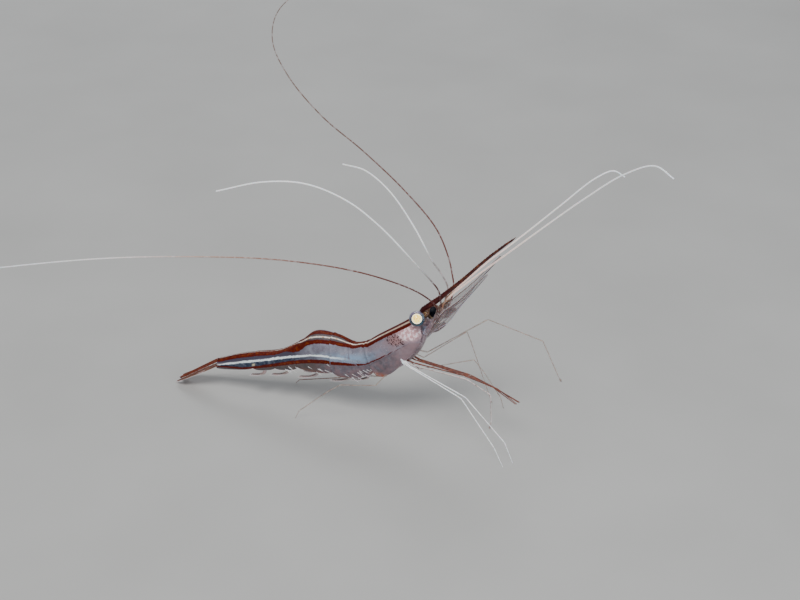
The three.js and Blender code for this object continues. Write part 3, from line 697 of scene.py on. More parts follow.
finishes = {
    "shell": makeShellFinish(),
    "skin": makeSkinFinish(),
    "belly": makeFleshFinish("belly", tone(110, 92, 98), tone(140, 122, 130), tone(176, 160, 166)),
    "rostrum": makeRostrumFinish(),
    "redLeg": makeLegFinish("red leg", tone(72, 20, 12), tone(108, 42, 22), tone(146, 78, 50)),
    "brownLeg": makeLegFinish("brown leg", tone(104, 62, 50), tone(146, 102, 88), tone(190, 156, 142),
                              clear=0.85),
    "tanLeg": makeLegFinish("clear leg", tone(150, 118, 104), tone(188, 166, 152), tone(216, 202, 190),
                            clear=0.45),
    # The pink and white legs carry a painted highlight, and the white legs glow: painted light.
    "pinkLeg": makeLegFinish("pink leg", tone(156, 130, 126), tone(196, 176, 172), tone(228, 214, 212),
                             tone(242, 234, 234), 0.9),
    "whiteLeg": makeLegFinish("white leg", tone(170, 178, 188), tone(226, 230, 236), tone(250, 250, 254),
                              tone(255, 255, 255), 1.0, 0.35),
    "eye": makeEyeFinish(),
    "farEye": makeFarEyeFinish(),
    "bristle": makeFeelerFinish("bristle", ((0.0, tone(206, 196, 200)), (1.0, tone(226, 224, 232)))),
    "whiteBristle": makeFeelerFinish("white bristle",
                                     ((0.0, tone(236, 232, 236)), (1.0, tone(246, 246, 250)))),
    "redBristle": makeFeelerFinish("red bristle", ((0.0, tone(150, 84, 62)), (1.0, tone(190, 140, 120)))),
}
print("finishes made")

# Shell: the carapace and six rings of the abdomen.

shellForm = {
    "carapaceTop": [(0.2, 0, 20.8), (2.8, 0, 22.9), (6.0, 0, 25.2), (9.2, 0, 27.5), (12.0, 0, 29.6),
                    (14.4, 0, 31.6)],
    "carapaceBottom": [(3.9, 0, 12.7), (7.3, 0, 14.5), (10.6, 0, 18.4), (13.3, 0, 21.9), (14.8, 0, 25.5),
                       (15.9, 0, 28.4)],
    "carapaceHalf": [3.3, 3.7, 3.8, 3.3, 2.6, 1.9],
    "abdomenTop": [(-0.2, 0, 20.5), (-3.4, 0, 19.5), (-8.2, 0, 20.9), (-13.0, 0, 20.9), (-16.9, 0, 17.6),
                   (-22.3, 0, 14.0), (-28.0, 0, 12.45), (-33.5, 0, 10.7), (-38.4, 0, 8.6)],
    "abdomenBottom": [(3.4, 0, 13.6), (-0.6, 0, 12.3), (-6.4, 0, 11.5), (-11.8, 0, 11.1), (-16.6, 0, 10.6),
                      (-22.6, 0, 9.4), (-28.6, 0, 7.9), (-34.0, 0, 6.9), (-38.8, 0, 5.9)],
    "abdomenHalf": [3.1, 3.4, 3.5, 3.4, 3.0, 2.6, 2.1, 1.7, 1.5],
    "ringBorders": [0, 1, 2, 4, 5, 6, 8],
    "squareness": 0.88, "thickness": 0.16,
    "keelHalf": 0.2,  # half the keel's width, in radians
}
# Painted lines, each place along X with millimetres. The back's pattern leans a little to the animal's right.
paintedLines = {
    "whiteLean": [(-20, -0.2), (-17.5, 0.5), (-15, 1.6), (-13, 2.05), (-11, 1.8), (-9, 1.4), (-6, 0.75),
                  (-4.5, 0.45), (-1, 0.45), (0.5, 0.85), (2, 1.15), (12, 1.27)],
    "whiteHalf": [(-24, 0.08), (-18, 0.14), (-15, 0.2), (-5, 0.2), (12, 0.22)],
    "redAway": [(-36, 0.95), (-20, 0.9), (-17, 1.5), (-14.5, 1.15), (-8, 1.3), (-6, 1.3), (-4, 0.8),
                (-1, 0.65), (1, 0.85), (12, 0.9)],
    "redHalf": [(-38, 0.62), (-30, 0.8), (-21, 0.85), (-18, 1.2), (-16, 1.0), (-14.5, 0.65), (-13, 0.5),
                (-7, 0.5), (-2.7, 0.66), (0, 0.5), (3, 0.45), (12, 0.46)],
    "farWider": [(-22, 0.0), (-15, 0.5), (-6, 0.5), (-3, 0.3), (12, 0.3)],
    "lateralHeight": [(-39, 7.1), (-35, 7.7), (-32, 8.0), (-29.4, 8.7), (-24, 10.7), (-18.5, 12.8),
                      (-15.8, 13.7), (-13, 14.5), (-10.5, 14.95), (-5.5, 15.5), (-0.5, 16.0), (0.7, 16.25),
                      (3.4, 18.1), (7.2, 20.9), (12, 24.4)],
    "lateralHalf": [(-39, 0.16), (-35, 0.27), (-27, 0.38), (-18.5, 0.54), (-10.5, 0.53), (-3, 0.34),
                    (0, 0.24), (6, 0.2), (12, 0.13)],
    "lateralInk": [(-40, 1), (6, 1), (9, 0.7), (12, 0)],
    "whiteHeight": [(-38, 7.7), (-32, 9.7), (-24, 12.3), (-18.5, 14.35), (-13, 16.15), (-10.5, 16.55),
                    (-5, 16.9), (12, 17.2)],
}


# Painted patches: place along X, height, reach along, reach up and strength.
paintedPatches = {
    "cheek": [(12.6, 27.0, 1.9, 1.7, 1.25), (10.2, 25.9, 1.9, 1.3, 1.05)],
    "speckled": [(8.2, 24.2, 2.1, 1.1, 1.7)],
    "sore": [(4.4, 14.0, 2.2, 0.7, 1.2), (-6.0, 11.6, 8.0, 0.45, 0.7)],
}


def sliceAt(kind, places):
    top = splineAt(shellForm[kind + "Top"], places)
    bottom = splineAt(shellForm[kind + "Bottom"], places)
    half = np.interp(places, range(len(shellForm[kind + "Half"])), shellForm[kind + "Half"])
    return top, bottom, half


def swell(value):
    return np.sign(value) * np.abs(value) ** shellForm["squareness"]


# Places run along the body and angles round it, both as grids; angle 0 is the back.
def shellPoints(kind, places, angles, scale, tuck, keel=0.0):
    shape = places.shape
    top, bottom, half = (a.reshape(shape + a.shape[1:]) for a in sliceAt(kind, places.reshape(-1)))
    middle, up = (top + bottom) / 2, (top - bottom) / 2
    scale = np.broadcast_to(scale, shape)
    size = np.abs(angles)
    hanging = climb(size, math.pi / 2, math.pi)
    spread = np.where(size < math.pi / 2, swell(np.sin(size)), 1 - tuck * hanging ** 2) * np.sign(angles)
    points = middle + up * (scale * swell(np.cos(size)))[..., None]
    points[..., 1] -= spread * half * scale
    points += unit(up) * (np.broadcast_to(keel, shape) * hill(size, 0, shellForm["keelHalf"]))[..., None]
    return points


def markings(grid):  # how far each point lies from the painted lines, below 0 inside a line
    steps = np.linalg.norm(np.diff(grid, axis=1), axis=2)
    arc = np.concatenate([np.zeros((len(grid), 1)), np.cumsum(steps, 1)], 1)
    arc -= arc[:, grid.shape[1] // 2][:, None]
    x, z = grid[..., 0], grid[..., 2]

    def line(name):
        return tableAt(paintedLines[name], x)

    def patch(name):
        spots = paintedPatches[name]
        strength = sum(strong * hill(x, cx, rx) * hill(z, cz, rz) for cx, cz, rx, rz, strong in spots)
        return np.clip(strength, 0, 1)

    across = arc - line("whiteLean")
    aside = np.abs(across)
    wider = np.where(across < 0, line("farWider"), 0)
    above = z - line("lateralHeight")
    return {
        "along": x,
        "dorsalWhite": aside - line("whiteHalf"),
        "dorsalRed": np.abs(aside - line("redAway") - wider) - line("redHalf") - wider * 0.8,
        "aboveLateral": above,
        "lateralRed": np.abs(above) - line("lateralHalf"),
        "lateralInk": line("lateralInk"),
        "aboveWhite": z - line("whiteHeight"),
        "cheek": patch("cheek"), "speckled": patch("speckled"), "sore": patch("sore"),
    }


def addShell(name, grid, thickness, node):
    shape = shellPart(grid, thickness, **markings(grid))
    addPiece(name, meshOf(name, shape), finishes["shell"], "shell", node)


fineHair = {"thickness": 0.022, "corners": 3}
fringeForm = {"lean": (-0.55, 0.25, -0.8), "uneven": 0.5}


def addFringe(name, roots, reach, node, seed):  # short hairs along a lower margin, leaning to the rear
    roots = np.array(roots)
    back, aside, down = fringeForm["lean"]
    count = len(roots)
    aims = np.stack([np.full(count, back), aside * np.sign(roots[:, 1]), np.full(count, down)], 1)
    hairs = bristleMesh(name, roots, aims, reach, finishes["bristle"], uneven=fringeForm["uneven"], seed=seed,
                        **fineHair)
    addPiece(name, hairs, None, "shell", node)


carapaceForm = {
    "rows": 76, "columns": 97,
    "lowest": 152,  # the lower edge, in degrees from the back
    "frontEdge": [(0, 4.0), (20, 4.0), (34, 3.95), (44, 4.0), (56, 4.22), (66, 4.42), (76, 4.5), (90, 4.42),
                  (110, 4.2), (125, 4.08), (133, 4.14), (140, 3.85), (152, 3.3)],  # degrees and place
    "rearEdge": [(0, -0.16), (60, -0.14), (100, -0.08), (130, 0.0), (152, 0.35)],
    "rearRim": 0.035, "rimDip": 0.015,  # the raised rear rim and the dip before it
    "groove": 0.03, "gillSwelling": 0.025, "keel": 0.16,
    "tuck": 0.42,  # how far the lower edges draw in
    "rearReach": 3.6,
    "fringeReach": 0.55, "fringeRows": range(4, 62, 2), "fringeSeed": 21,
}


def makeCarapace():
    form = carapaceForm
    share = np.linspace(0, 1, form["rows"])[:, None]  # 0 at the rear edge, 1 at the front
    across = np.linspace(-1, 1, form["columns"])[None] * math.radians(form["lowest"])
    angle = np.repeat(across, form["rows"], 0)
    size = np.abs(angle)
    degrees = np.degrees(size)
    front, rear = tableAt(form["frontEdge"], degrees), tableAt(form["rearEdge"], degrees)
    places = rear + (front - rear) * share
    flare = 1.0 + form["rearRim"] * hill(share, 0, 0.04) - form["rimDip"] * hill(share, 0.07, 0.03)
    groove = -form["groove"] * hill(places, 3.0 - 0.5 * np.sin(size * 1.2), 0.1) * (size > 0.5)
    gill = form["gillSwelling"] * hill(degrees, 105, 16) * (places < 2.8)
    keel = form["keel"] * climb(places, 2.2, 3.4)
    grid = shellPoints("carapace", np.clip(places, 0, 5), angle, flare + groove + gill, form["tuck"], keel)
    first, second = np.array(shellForm["carapaceTop"][:2])
    grid -= np.minimum(places, 0)[..., None] * form["rearReach"] * unit(first - second)
    addShell("carapaceShell", grid, shellForm["thickness"], "carapace")
    edge = [grid[row, column] for column in (0, -1) for row in form["fringeRows"]]
    addFringe("carapaceFringe", edge, form["fringeReach"], "carapace", form["fringeSeed"])


ringForm = {
    "rows": 40, "columns": 81,
    # In degrees, from the back to a ring's corners and from there down its lobe.
    "edgeAngle": 104, "lobeAngle": 66,
    "lobeDrop": [0.9, 1.1, 0.98, 0.96, 0.9, 0.7], "lobeRound": 0.55,  # how low each ring's side lobe hangs
    "overhang": 0.55,  # how far a ring's rear edge reaches over the next ring
    "lastOverhang": 0.2,  # the share of it that ring 6 has
    "frontHidden": 0.06,  # share of a ring that lies under the one before it
    "saddle": {"front": 0.3, "rear": 0.12, "wider": 0.06},  # ring 2's side lobes lie over both neighbours
    "narrower": 0.025,  # the other lobes
    "rearRim": 0.02, "rimDip": 0.008, "frontDip": 0.03,
    "tuck": 0.3, "thinner": 0.85, "frontReach": 3.0, "rearReach": 5.0,
    "fringeReach": [0.75, 0.75, 0.75, 0.75, 0.4, 0.4],
    "strokedRings": (1, 2, 3, 4),
    "strokes": {"count": 6, "reach": 2.3, "thickness": 0.085, "flatness": 0.6, "uneven": 0.5},
}


def addStrokes(number, grid):  # long pale bristles lying on the side lobes
    form = ringForm["strokes"]
    rows, columns = grid.shape[:2]
    chance = np.random.default_rng(40 + number)
    roots, aims = [], []
    for mirrored in (False, True):
        for _ in range(form["count"]):
            row, column = int(chance.integers(5, rows - 10)), int(chance.integers(4, 13))
            root = grid[row, column if mirrored else columns - 1 - column]
            aside = np.sign(root[1])
            roots.append(root + np.array([0, 0.2 * aside, 0.0]))
            aims.append((0.9, 0.12 * aside, -0.3 + 0.12 * chance.normal()))
    strokes = bristleMesh(f"ringBristles{number}", roots, aims, form["reach"], finishes["whiteBristle"],
                          form["thickness"], form["flatness"], uneven=form["uneven"], seed=7)
    addPiece(f"ringBristles{number}", strokes, None, "shell", f"pleon_{number}")


def makeRing(number):
    form, saddle = ringForm, ringForm["saddle"]
    start, end = shellForm["ringBorders"][number - 1:number + 1]
    span = end - start
    top, bottom, _ = sliceAt("abdomen", np.array([start, end], float))
    length = np.linalg.norm(top[0] - top[1]) * 0.5 + np.linalg.norm(bottom[0] - bottom[1]) * 0.5
    share = np.linspace(0, 1, form["rows"])[:, None]
    lobe = math.radians(form["lobeAngle"] * form["lobeDrop"][number - 1])
    lowest = math.radians(form["edgeAngle"]) + lobe * np.sin(math.pi * share) ** form["lobeRound"]
    angle = np.linspace(-1, 1, form["columns"])[None] * lowest
    degrees = np.degrees(np.abs(angle))
    front, rear, wide = -form["frontHidden"] * span, form["overhang"] / length * span, 1.0
    if number == 2:
        front = front - saddle["front"] * climb(degrees, 75, 120)
        rear = rear + saddle["rear"] * climb(degrees, 75, 120)
        wide = 1.0 + saddle["wider"] * climb(degrees, 60, 100)
    elif number == 6:
        rear = rear * form["lastOverhang"]
    else:
        wide = 1.0 - form["narrower"] * climb(degrees, 75, 115)
    places = np.broadcast_to(start + front + (span + rear - front) * share, angle.shape)
    lift = (1 - form["frontDip"] * (1 - climb(share, 0, 0.3)) + form["rearRim"] * hill(share, 1, 0.07)
            - form["rimDip"] * hill(share, 0.86, 0.04))
    grid = shellPoints("abdomen", np.clip(places, 0, 8), angle, lift * wide, form["tuck"])
    grid[..., 0] -= np.minimum(places, 0) * form["frontReach"] + np.clip(places - 8, 0, 1) * form["rearReach"]
    addShell(f"ringShell{number}", grid, shellForm["thickness"] * form["thinner"], f"pleon_{number}")
    edge = [grid[row, column] for column in (0, -1) for row in range(4, form["rows"] - 2)]
    addFringe(f"ringFringe{number}", edge, form["fringeReach"][number - 1], f"pleon_{number}", number)
    if number in form["strokedRings"]:
        addStrokes(number, grid)


bellyForm = {
    "sternum": [(4.0, 0, 14.4), (7.6, 0, 16.3), (10.4, 0, 18.9), (12.6, 0, 21.6), (14.0, 0, 24.6)],
    "across": [1.2, 1.8, 2.1, 2.0, 1.6], "upright": [0.7, 1.0, 1.1, 1.0, 0.9],
    "rise": 0.87, "spread": 0.84,  # its size inside the plates
    "bodies": (("carapace", 3.95, 40), ("abdomen", 7.9, 90)),  # last place and number of rings
    "corners": 40,
}


def makeBelly():  # the soft body inside, seen between the plates and along the belly
    angles = cornerAngles(bellyForm["corners"])
    bodies = []
    for kind, last, count in bellyForm["bodies"]:
        top, bottom, half = sliceAt(kind, np.linspace(0.05, last, count))
        middle, up = (top + bottom) / 2, (top - bottom) / 2
        rings = middle[:, None] + up[:, None] * (bellyForm["rise"] * swell(np.cos(angles)))[None, :, None]
        rings[..., 1] -= bellyForm["spread"] * half[:, None] * swell(np.sin(angles))[None]
        bodies.append(tubePart(rings))
    bodies.append(roundedTube(bellyForm["sternum"], bellyForm["across"], bellyForm["upright"], corners=24))
    addPiece("softBody", meshOf("softBody", joined(*bodies)), finishes["belly"], "flesh")


makeCarapace()
for ringNumber in range(1, 7):
    makeRing(ringNumber)
makeBelly()
print("shell made")

# Rostrum: a blade with fine teeth above and below.

rostrumForm = {
    "edge": [(8.3, 28.0), (20.1, 36.9), (35.4, 53.8)],
    # How far the upper edge sags under a plain curve.
    "sag": [(0, 1.3), (0.1, 1.1), (0.15, 0.8), (0.18, 0.4), (0.21, 0.0), (0.3, -0.08), (0.37, -0.08),
            (0.5, -0.22), (0.6, -0.34), (0.72, -0.6), (0.82, -0.64), (0.93, -0.4), (1, 0)],
    "depth": [(0, 1.1), (0.21, 1.2), (0.32, 1.3), (0.4, 1.06), (0.5, 0.92), (0.57, 0.82), (0.65, 0.74),
              (0.8, 0.66), (0.92, 0.54), (1, 0.32)],
    "halfThickness": [(0, 1.38), (0.1, 1.32), (0.2, 0.78), (0.32, 0.375), (1, 0.135)],
    "profile": [(0.0, 0.1), (0.12, 0.36), (0.3, 0.62), (0.48, 1.0), (0.58, 1.0), (0.72, 0.6), (0.88, 0.4),
                (1.0, 0.12)],
    "stops": 150,
    "upperTeeth": {"from": 0.1, "to": 0.965, "count": 40, "sunk": 0.14, "aim": (0.9, -0.42),
                   "reach": [(0.1, 0.4), (0.25, 0.75), (1, 0.5)]},
    "lowerTeeth": {"from": 0.3, "to": 0.96, "count": 30, "sunk": 0.12, "aim": (0.95, 0.3),
                   "reach": [(0.3, 0.5), (1, 0.4)]},
    "toothThickness": 0.11,
}


def rostrumAt(name, t):
    return tableAt(rostrumForm[name], t)


def rostrumEdgeAt(t):
    a, b, c = (np.array(p) for p in rostrumForm["edge"])
    t = np.asarray(t, float)[:, None]
    point = (1 - t) ** 2 * a + 2 * t * (1 - t) * b + t ** 2 * c
    slope = unit(2 * (1 - t) * (b - a) + 2 * t * (c - b))
    inward = np.stack([slope[:, 1], -slope[:, 0]], 1)
    return point + inward * rostrumAt("sag", t), slope, inward


def toothRow(form, below):
    stops = np.linspace(form["from"], form["to"], form["count"])
    edge, slope, inward = rostrumEdgeAt(stops)
    deep = rostrumAt("depth", stops) - form["sunk"] if below else np.full(len(stops), form["sunk"])
    forward, down = form["aim"]
    return edge + inward * deep[:, None], slope * forward + inward * down, tableAt(form["reach"], stops)


def inMiddlePlane(flat):
    return np.stack([flat[:, 0], np.zeros(len(flat)), flat[:, 1]], 1)


def makeRostrum():
    stops = np.linspace(0.0, 1, rostrumForm["stops"])
    edge, _, inward = rostrumEdgeAt(stops)
    depth = rostrumAt("depth", stops) * np.clip((1 - stops) / 0.03, 0.06, 1) ** 0.5
    half = rostrumAt("halfThickness", stops) * np.clip((1 - stops) / 0.02, 0.1, 1) ** 0.5
    profile = rostrumForm["profile"]
    ring = profile + [(d, -w) for d, w in profile[::-1]]
    rings = np.zeros((len(stops), len(ring), 3))
    for k, (d, w) in enumerate(ring):
        rings[:, k] = inMiddlePlane(edge + inward * (depth * d)[:, None])
        rings[:, k, 1] = w * half
    blade = tubePart(rings, along=stops)
    blade["values"]["down"] = np.concatenate([np.tile([d for d, _ in ring], len(stops)), [0.5, 0.5]])
    addPiece("rostrumBlade", meshOf("rostrumBlade", blade), finishes["rostrum"], "red_shell", "rostrum")
    rows = toothRow(rostrumForm["upperTeeth"], False), toothRow(rostrumForm["lowerTeeth"], True)
    roots, aims, reach = (np.concatenate(values) for values in zip(*rows))
    teeth = bristleMesh("rostrumTeeth", inMiddlePlane(roots), inMiddlePlane(aims), reach, finishes["rostrum"],
                        rostrumForm["toothThickness"], corners=6, uneven=0.1, seed=4)
    addPiece("rostrumTeeth", teeth, None, "red_shell", "rostrum")


makeRostrum()
print("rostrum made")

# Eyes.

eyeForm = {
    "right": {"centre": nearEyeSpot, "foot": (14.9, -1.2, 28.9), "radius": 1.82, "girth": 1.0,
              "finish": "eye"},
    "left": {"centre": (15.0, 3.9, 29.35), "foot": (16.2, 2.5, 26.6), "radius": 1.82, "girth": 0.6,
             "finish": "farEye"},
    "facing": (138.1, -356.7, 235.0),  # the point that the glowing disc, painted eyeshine, and the dark window turn toward
    "farWindow": (0.85, 1.25),  # the dark part of the far eye, half its width and height
    "rings": 60, "corners": 96,
}


def makeEye(side):
    form = eyeForm[side]
    centre = np.array(form["centre"])
    toward = unit(np.array(eyeForm["facing"]) - centre)
    rightward = unit(np.cross((0, 0, 1), toward))
    upward = np.cross(toward, rightward)
    outs = np.linspace(0, math.pi, eyeForm["rings"])[1:-1]
    clocks = cornerAngles(eyeForm["corners"])
    around = np.cos(clocks)[:, None] * rightward + np.sin(clocks)[:, None] * upward
    rings = np.array([math.cos(out) * toward + math.sin(out) * around for out in outs])
    rings = rings * form["radius"] + centre
    ball = tubePart(rings)
    ball["points"][-2:] = centre + np.array([[1.0], [-1.0]]) * toward * form["radius"]
    away = (ball["points"] - centre) / form["radius"]
    wide, tall, near = away @ rightward, away @ upward, away @ toward
    if side == "right":
        out = np.arccos(np.clip(near, -1, 1)) / (math.pi / 2)
    else:
        out = np.hypot(wide / eyeForm["farWindow"][0], tall / eyeForm["farWindow"][1]) * form["radius"]
    ball["values"] = {"out": out, "clock": np.arctan2(tall, wide) / (2 * math.pi) % 1.0, "facing": near}
    name = "eyeBall" + side.capitalize()
    addPiece(name, meshOf(name, ball), finishes[form["finish"]], "eye", "eye_" + side)


for eyeSide in sides:
    makeEye(eyeSide)
print("eyes made")

# Head: one skin over the stalks, the bases of the feelers and the mouth.

headForm = {
    "core": [(11.8, 0, 27.2), (13.1, 0, 27.3), (15.7, 0, 27.6), (16.5, 0, 28.1)],
    "coreAcross": [2.3, 2.2, 1.8, 1.2], "coreUpright": [2.2, 1.85, 1.25, 0.75],
    "antennule": [(15.0, 1.3, 27.4), (16.5, 1.4, 28.2), (17.8, 1.45, 30.0), (18.5, 1.5, 31.9),
                  (18.9, 1.5, 33.7)],
    "antennuleRadius": [0.75, 0.75, 0.72, 0.68, 0.58],
    "antennaBase": [(15.2, 2.2, 27.0), (16.4, 2.7, 28.3), (17.4, 2.95, 29.9), (18.2, 3.0, 31.2),
                    (18.8, 3.1, 32.3)],
    "antennaRadius": [0.8, 0.88, 0.8, 0.7, 0.55],
    "mouth": [(10.6, 0, 19.4), (11.9, 0, 21.0), (13.1, 0, 22.7), (14.0, 0, 24.4), (14.6, 0, 26.2)],
    "mouthAcross": [1.3, 1.8, 2.0, 2.0, 1.7], "mouthUpright": [0.7, 0.8, 0.8, 0.8, 0.8],
    "brow": [(12.0, 0, 28.4), (13.4, 0, 29.8), (14.5, 0, 30.6), (15.2, 0, 31.2)],
    "browAcross": [1.3, 1.1, 0.9, 0.6], "browUpright": [0.9, 0.9, 0.85, 0.5],
    "beak": [(16.6, 0, 29.2), (17.4, 0, 31.0), (18.0, 0, 32.9), (19.2, 0, 34.4), (20.6, 0, 35.7)],
    "beakAcross": [0.9, 0.9, 0.8, 0.6, 0.35], "beakUpright": [0.6, 0.6, 0.6, 0.5, 0.35],
    "scaleBase": [(16.0, 3.1, 28.3), (18.3, 3.6, 29.5), (20.6, 3.8, 31.3)],
    "scaleBaseRadius": [0.8, 0.85, 0.5],
    "saddle": [(13.8, 0.8, 28.3), (15.0, 1.1, 28.35), (16.2, 1.4, 28.0)], "saddleRadius": [0.6, 0.62, 0.6],
    "jointRadii": (0.9, 1.02, 1.1, 0.95),  # how each joint of a stalk swells from its start to its end
    "jointLap": (0.1, 0.06),  # how far a joint runs into its neighbours
    "eyestalkRadii": (1.15, 1.05, 1.0, 1.2), "eyestalkHidden": 0.9,
    "voxel": 0.11, "soften": 0.6, "softenTimes": 5,
    "bluish": [(15.1, 2.5, 27.8, 0.9)],  # places and reach
    "beaded": [(17.2, 0, 31.3, 0.6), (17.9, 0, 32.7, 0.7), (18.6, 0, 34.0, 0.7), (19.7, 0, 35.2, 0.6),
               (18.5, 1.5, 33.5, 0.5)],
}


def mirroredPoints(points, sign):
    return [(x, y * sign, z) for x, y, z in points]


def spotsOn(points, spots):
    near = np.abs(points * (0, 1, 0)) + points * (1, 0, 1)
    strength = sum(np.exp(-(np.linalg.norm(near - spot[:3], axis=1) / spot[3]) ** 4) for spot in spots)
    return np.clip(strength, 0, 1)


def stalkParts(places, radii):  # one swelling body for each joint of a stalk
    joints = np.array(places)
    before, after = headForm["jointLap"]
    bodies = []
    for k, (a, b) in enumerate(zip(joints, joints[1:])):
        start, end = a - before * (b - a), b + after * (b - a)
        route = [start, start * 0.7 + end * 0.3, start * 0.25 + end * 0.75, end]
        thick = (radii[k], radii[k], radii[k + 1], radii[k + 1])
        swollen = [radius * swelling for radius, swelling in zip(thick, headForm["jointRadii"])]
        bodies.append(roundedTube(route, swollen))
    return bodies


def eyestalkPart(side):
    eye = eyeForm[side]
    centre, foot = np.array(eye["centre"]), np.array(eye["foot"])
    inward = unit(foot - centre)
    nearBall = centre + inward * (eye["radius"] * 0.85)
    route = [nearBall, (nearBall + foot) / 2, foot, foot + inward * headForm["eyestalkHidden"]]
    return roundedTube(route, [eye["girth"] * radius for radius in headForm["eyestalkRadii"]])


def oneSkin(shape):  # remeshes overlapping bodies into a single soft skin, in millimetres
    raw = bpy.data.meshes.new("headRaw")
    raw.from_pydata(shape["points"].tolist(), [], shape["faces"])
    holder = bpy.data.objects.new("headRaw", raw)
    bpy.context.scene.collection.objects.link(holder)
    remesh = holder.modifiers.new("oneSkin", "REMESH")
    remesh.mode = "VOXEL"
    remesh.voxel_size = headForm["voxel"]
    smooth = holder.modifiers.new("soften", "SMOOTH")
    smooth.factor = headForm["soften"]
    smooth.iterations = headForm["softenTimes"]
    evaluated = holder.evaluated_get(bpy.context.evaluated_depsgraph_get())
    skin = bpy.data.meshes.new_from_object(evaluated)
    bpy.data.objects.remove(holder)
    points = np.zeros(len(skin.vertices) * 3)
    skin.vertices.foreach_get("co", points)
    points = points.reshape(-1, 3)
    return points, facingOut(points, [tuple(face.vertices) for face in skin.polygons])


def makeHead():
    bodies = [roundedTube(headForm[key], headForm[key + "Across"], headForm[key + "Upright"])
              for key in ("core", "mouth", "brow", "beak")]
    bodies.append(roundedTube(headForm["saddle"], headForm["saddleRadius"]))
    nodes = ["head", "mouthparts"]
    for side, sign in sides.items():
        for key, radiusKey in (("antennule", "antennuleRadius"), ("antennaBase", "antennaRadius")):
            bodies += stalkParts(mirroredPoints(headForm[key], sign), headForm[radiusKey])
        bodies.append(roundedTube(mirroredPoints(headForm["scaleBase"], sign), headForm["scaleBaseRadius"]))
        bodies.append(eyestalkPart(side))
        nodes += [f"eyestalk_{side}", f"antennule_{side}", f"antenna_base_{side}"]
    points, faces = oneSkin(joined(*bodies))
    x, z = points[:, 0], points[:, 2]
    below = (x - 14) * 0.64 - (z - 30.6) * 0.77 + 0.4  # under the rostrum's lower edge
    shape = part(points, faces, below=below, ahead=x, bluish=spotsOn(points, headForm["bluish"]),
                 beaded=spotsOn(points, headForm["beaded"]))
    addPiece("headSkin", meshOf("headSkin", shape), finishes["skin"], "flesh", *nodes)


makeHead()
print("head made")

# Feelers.

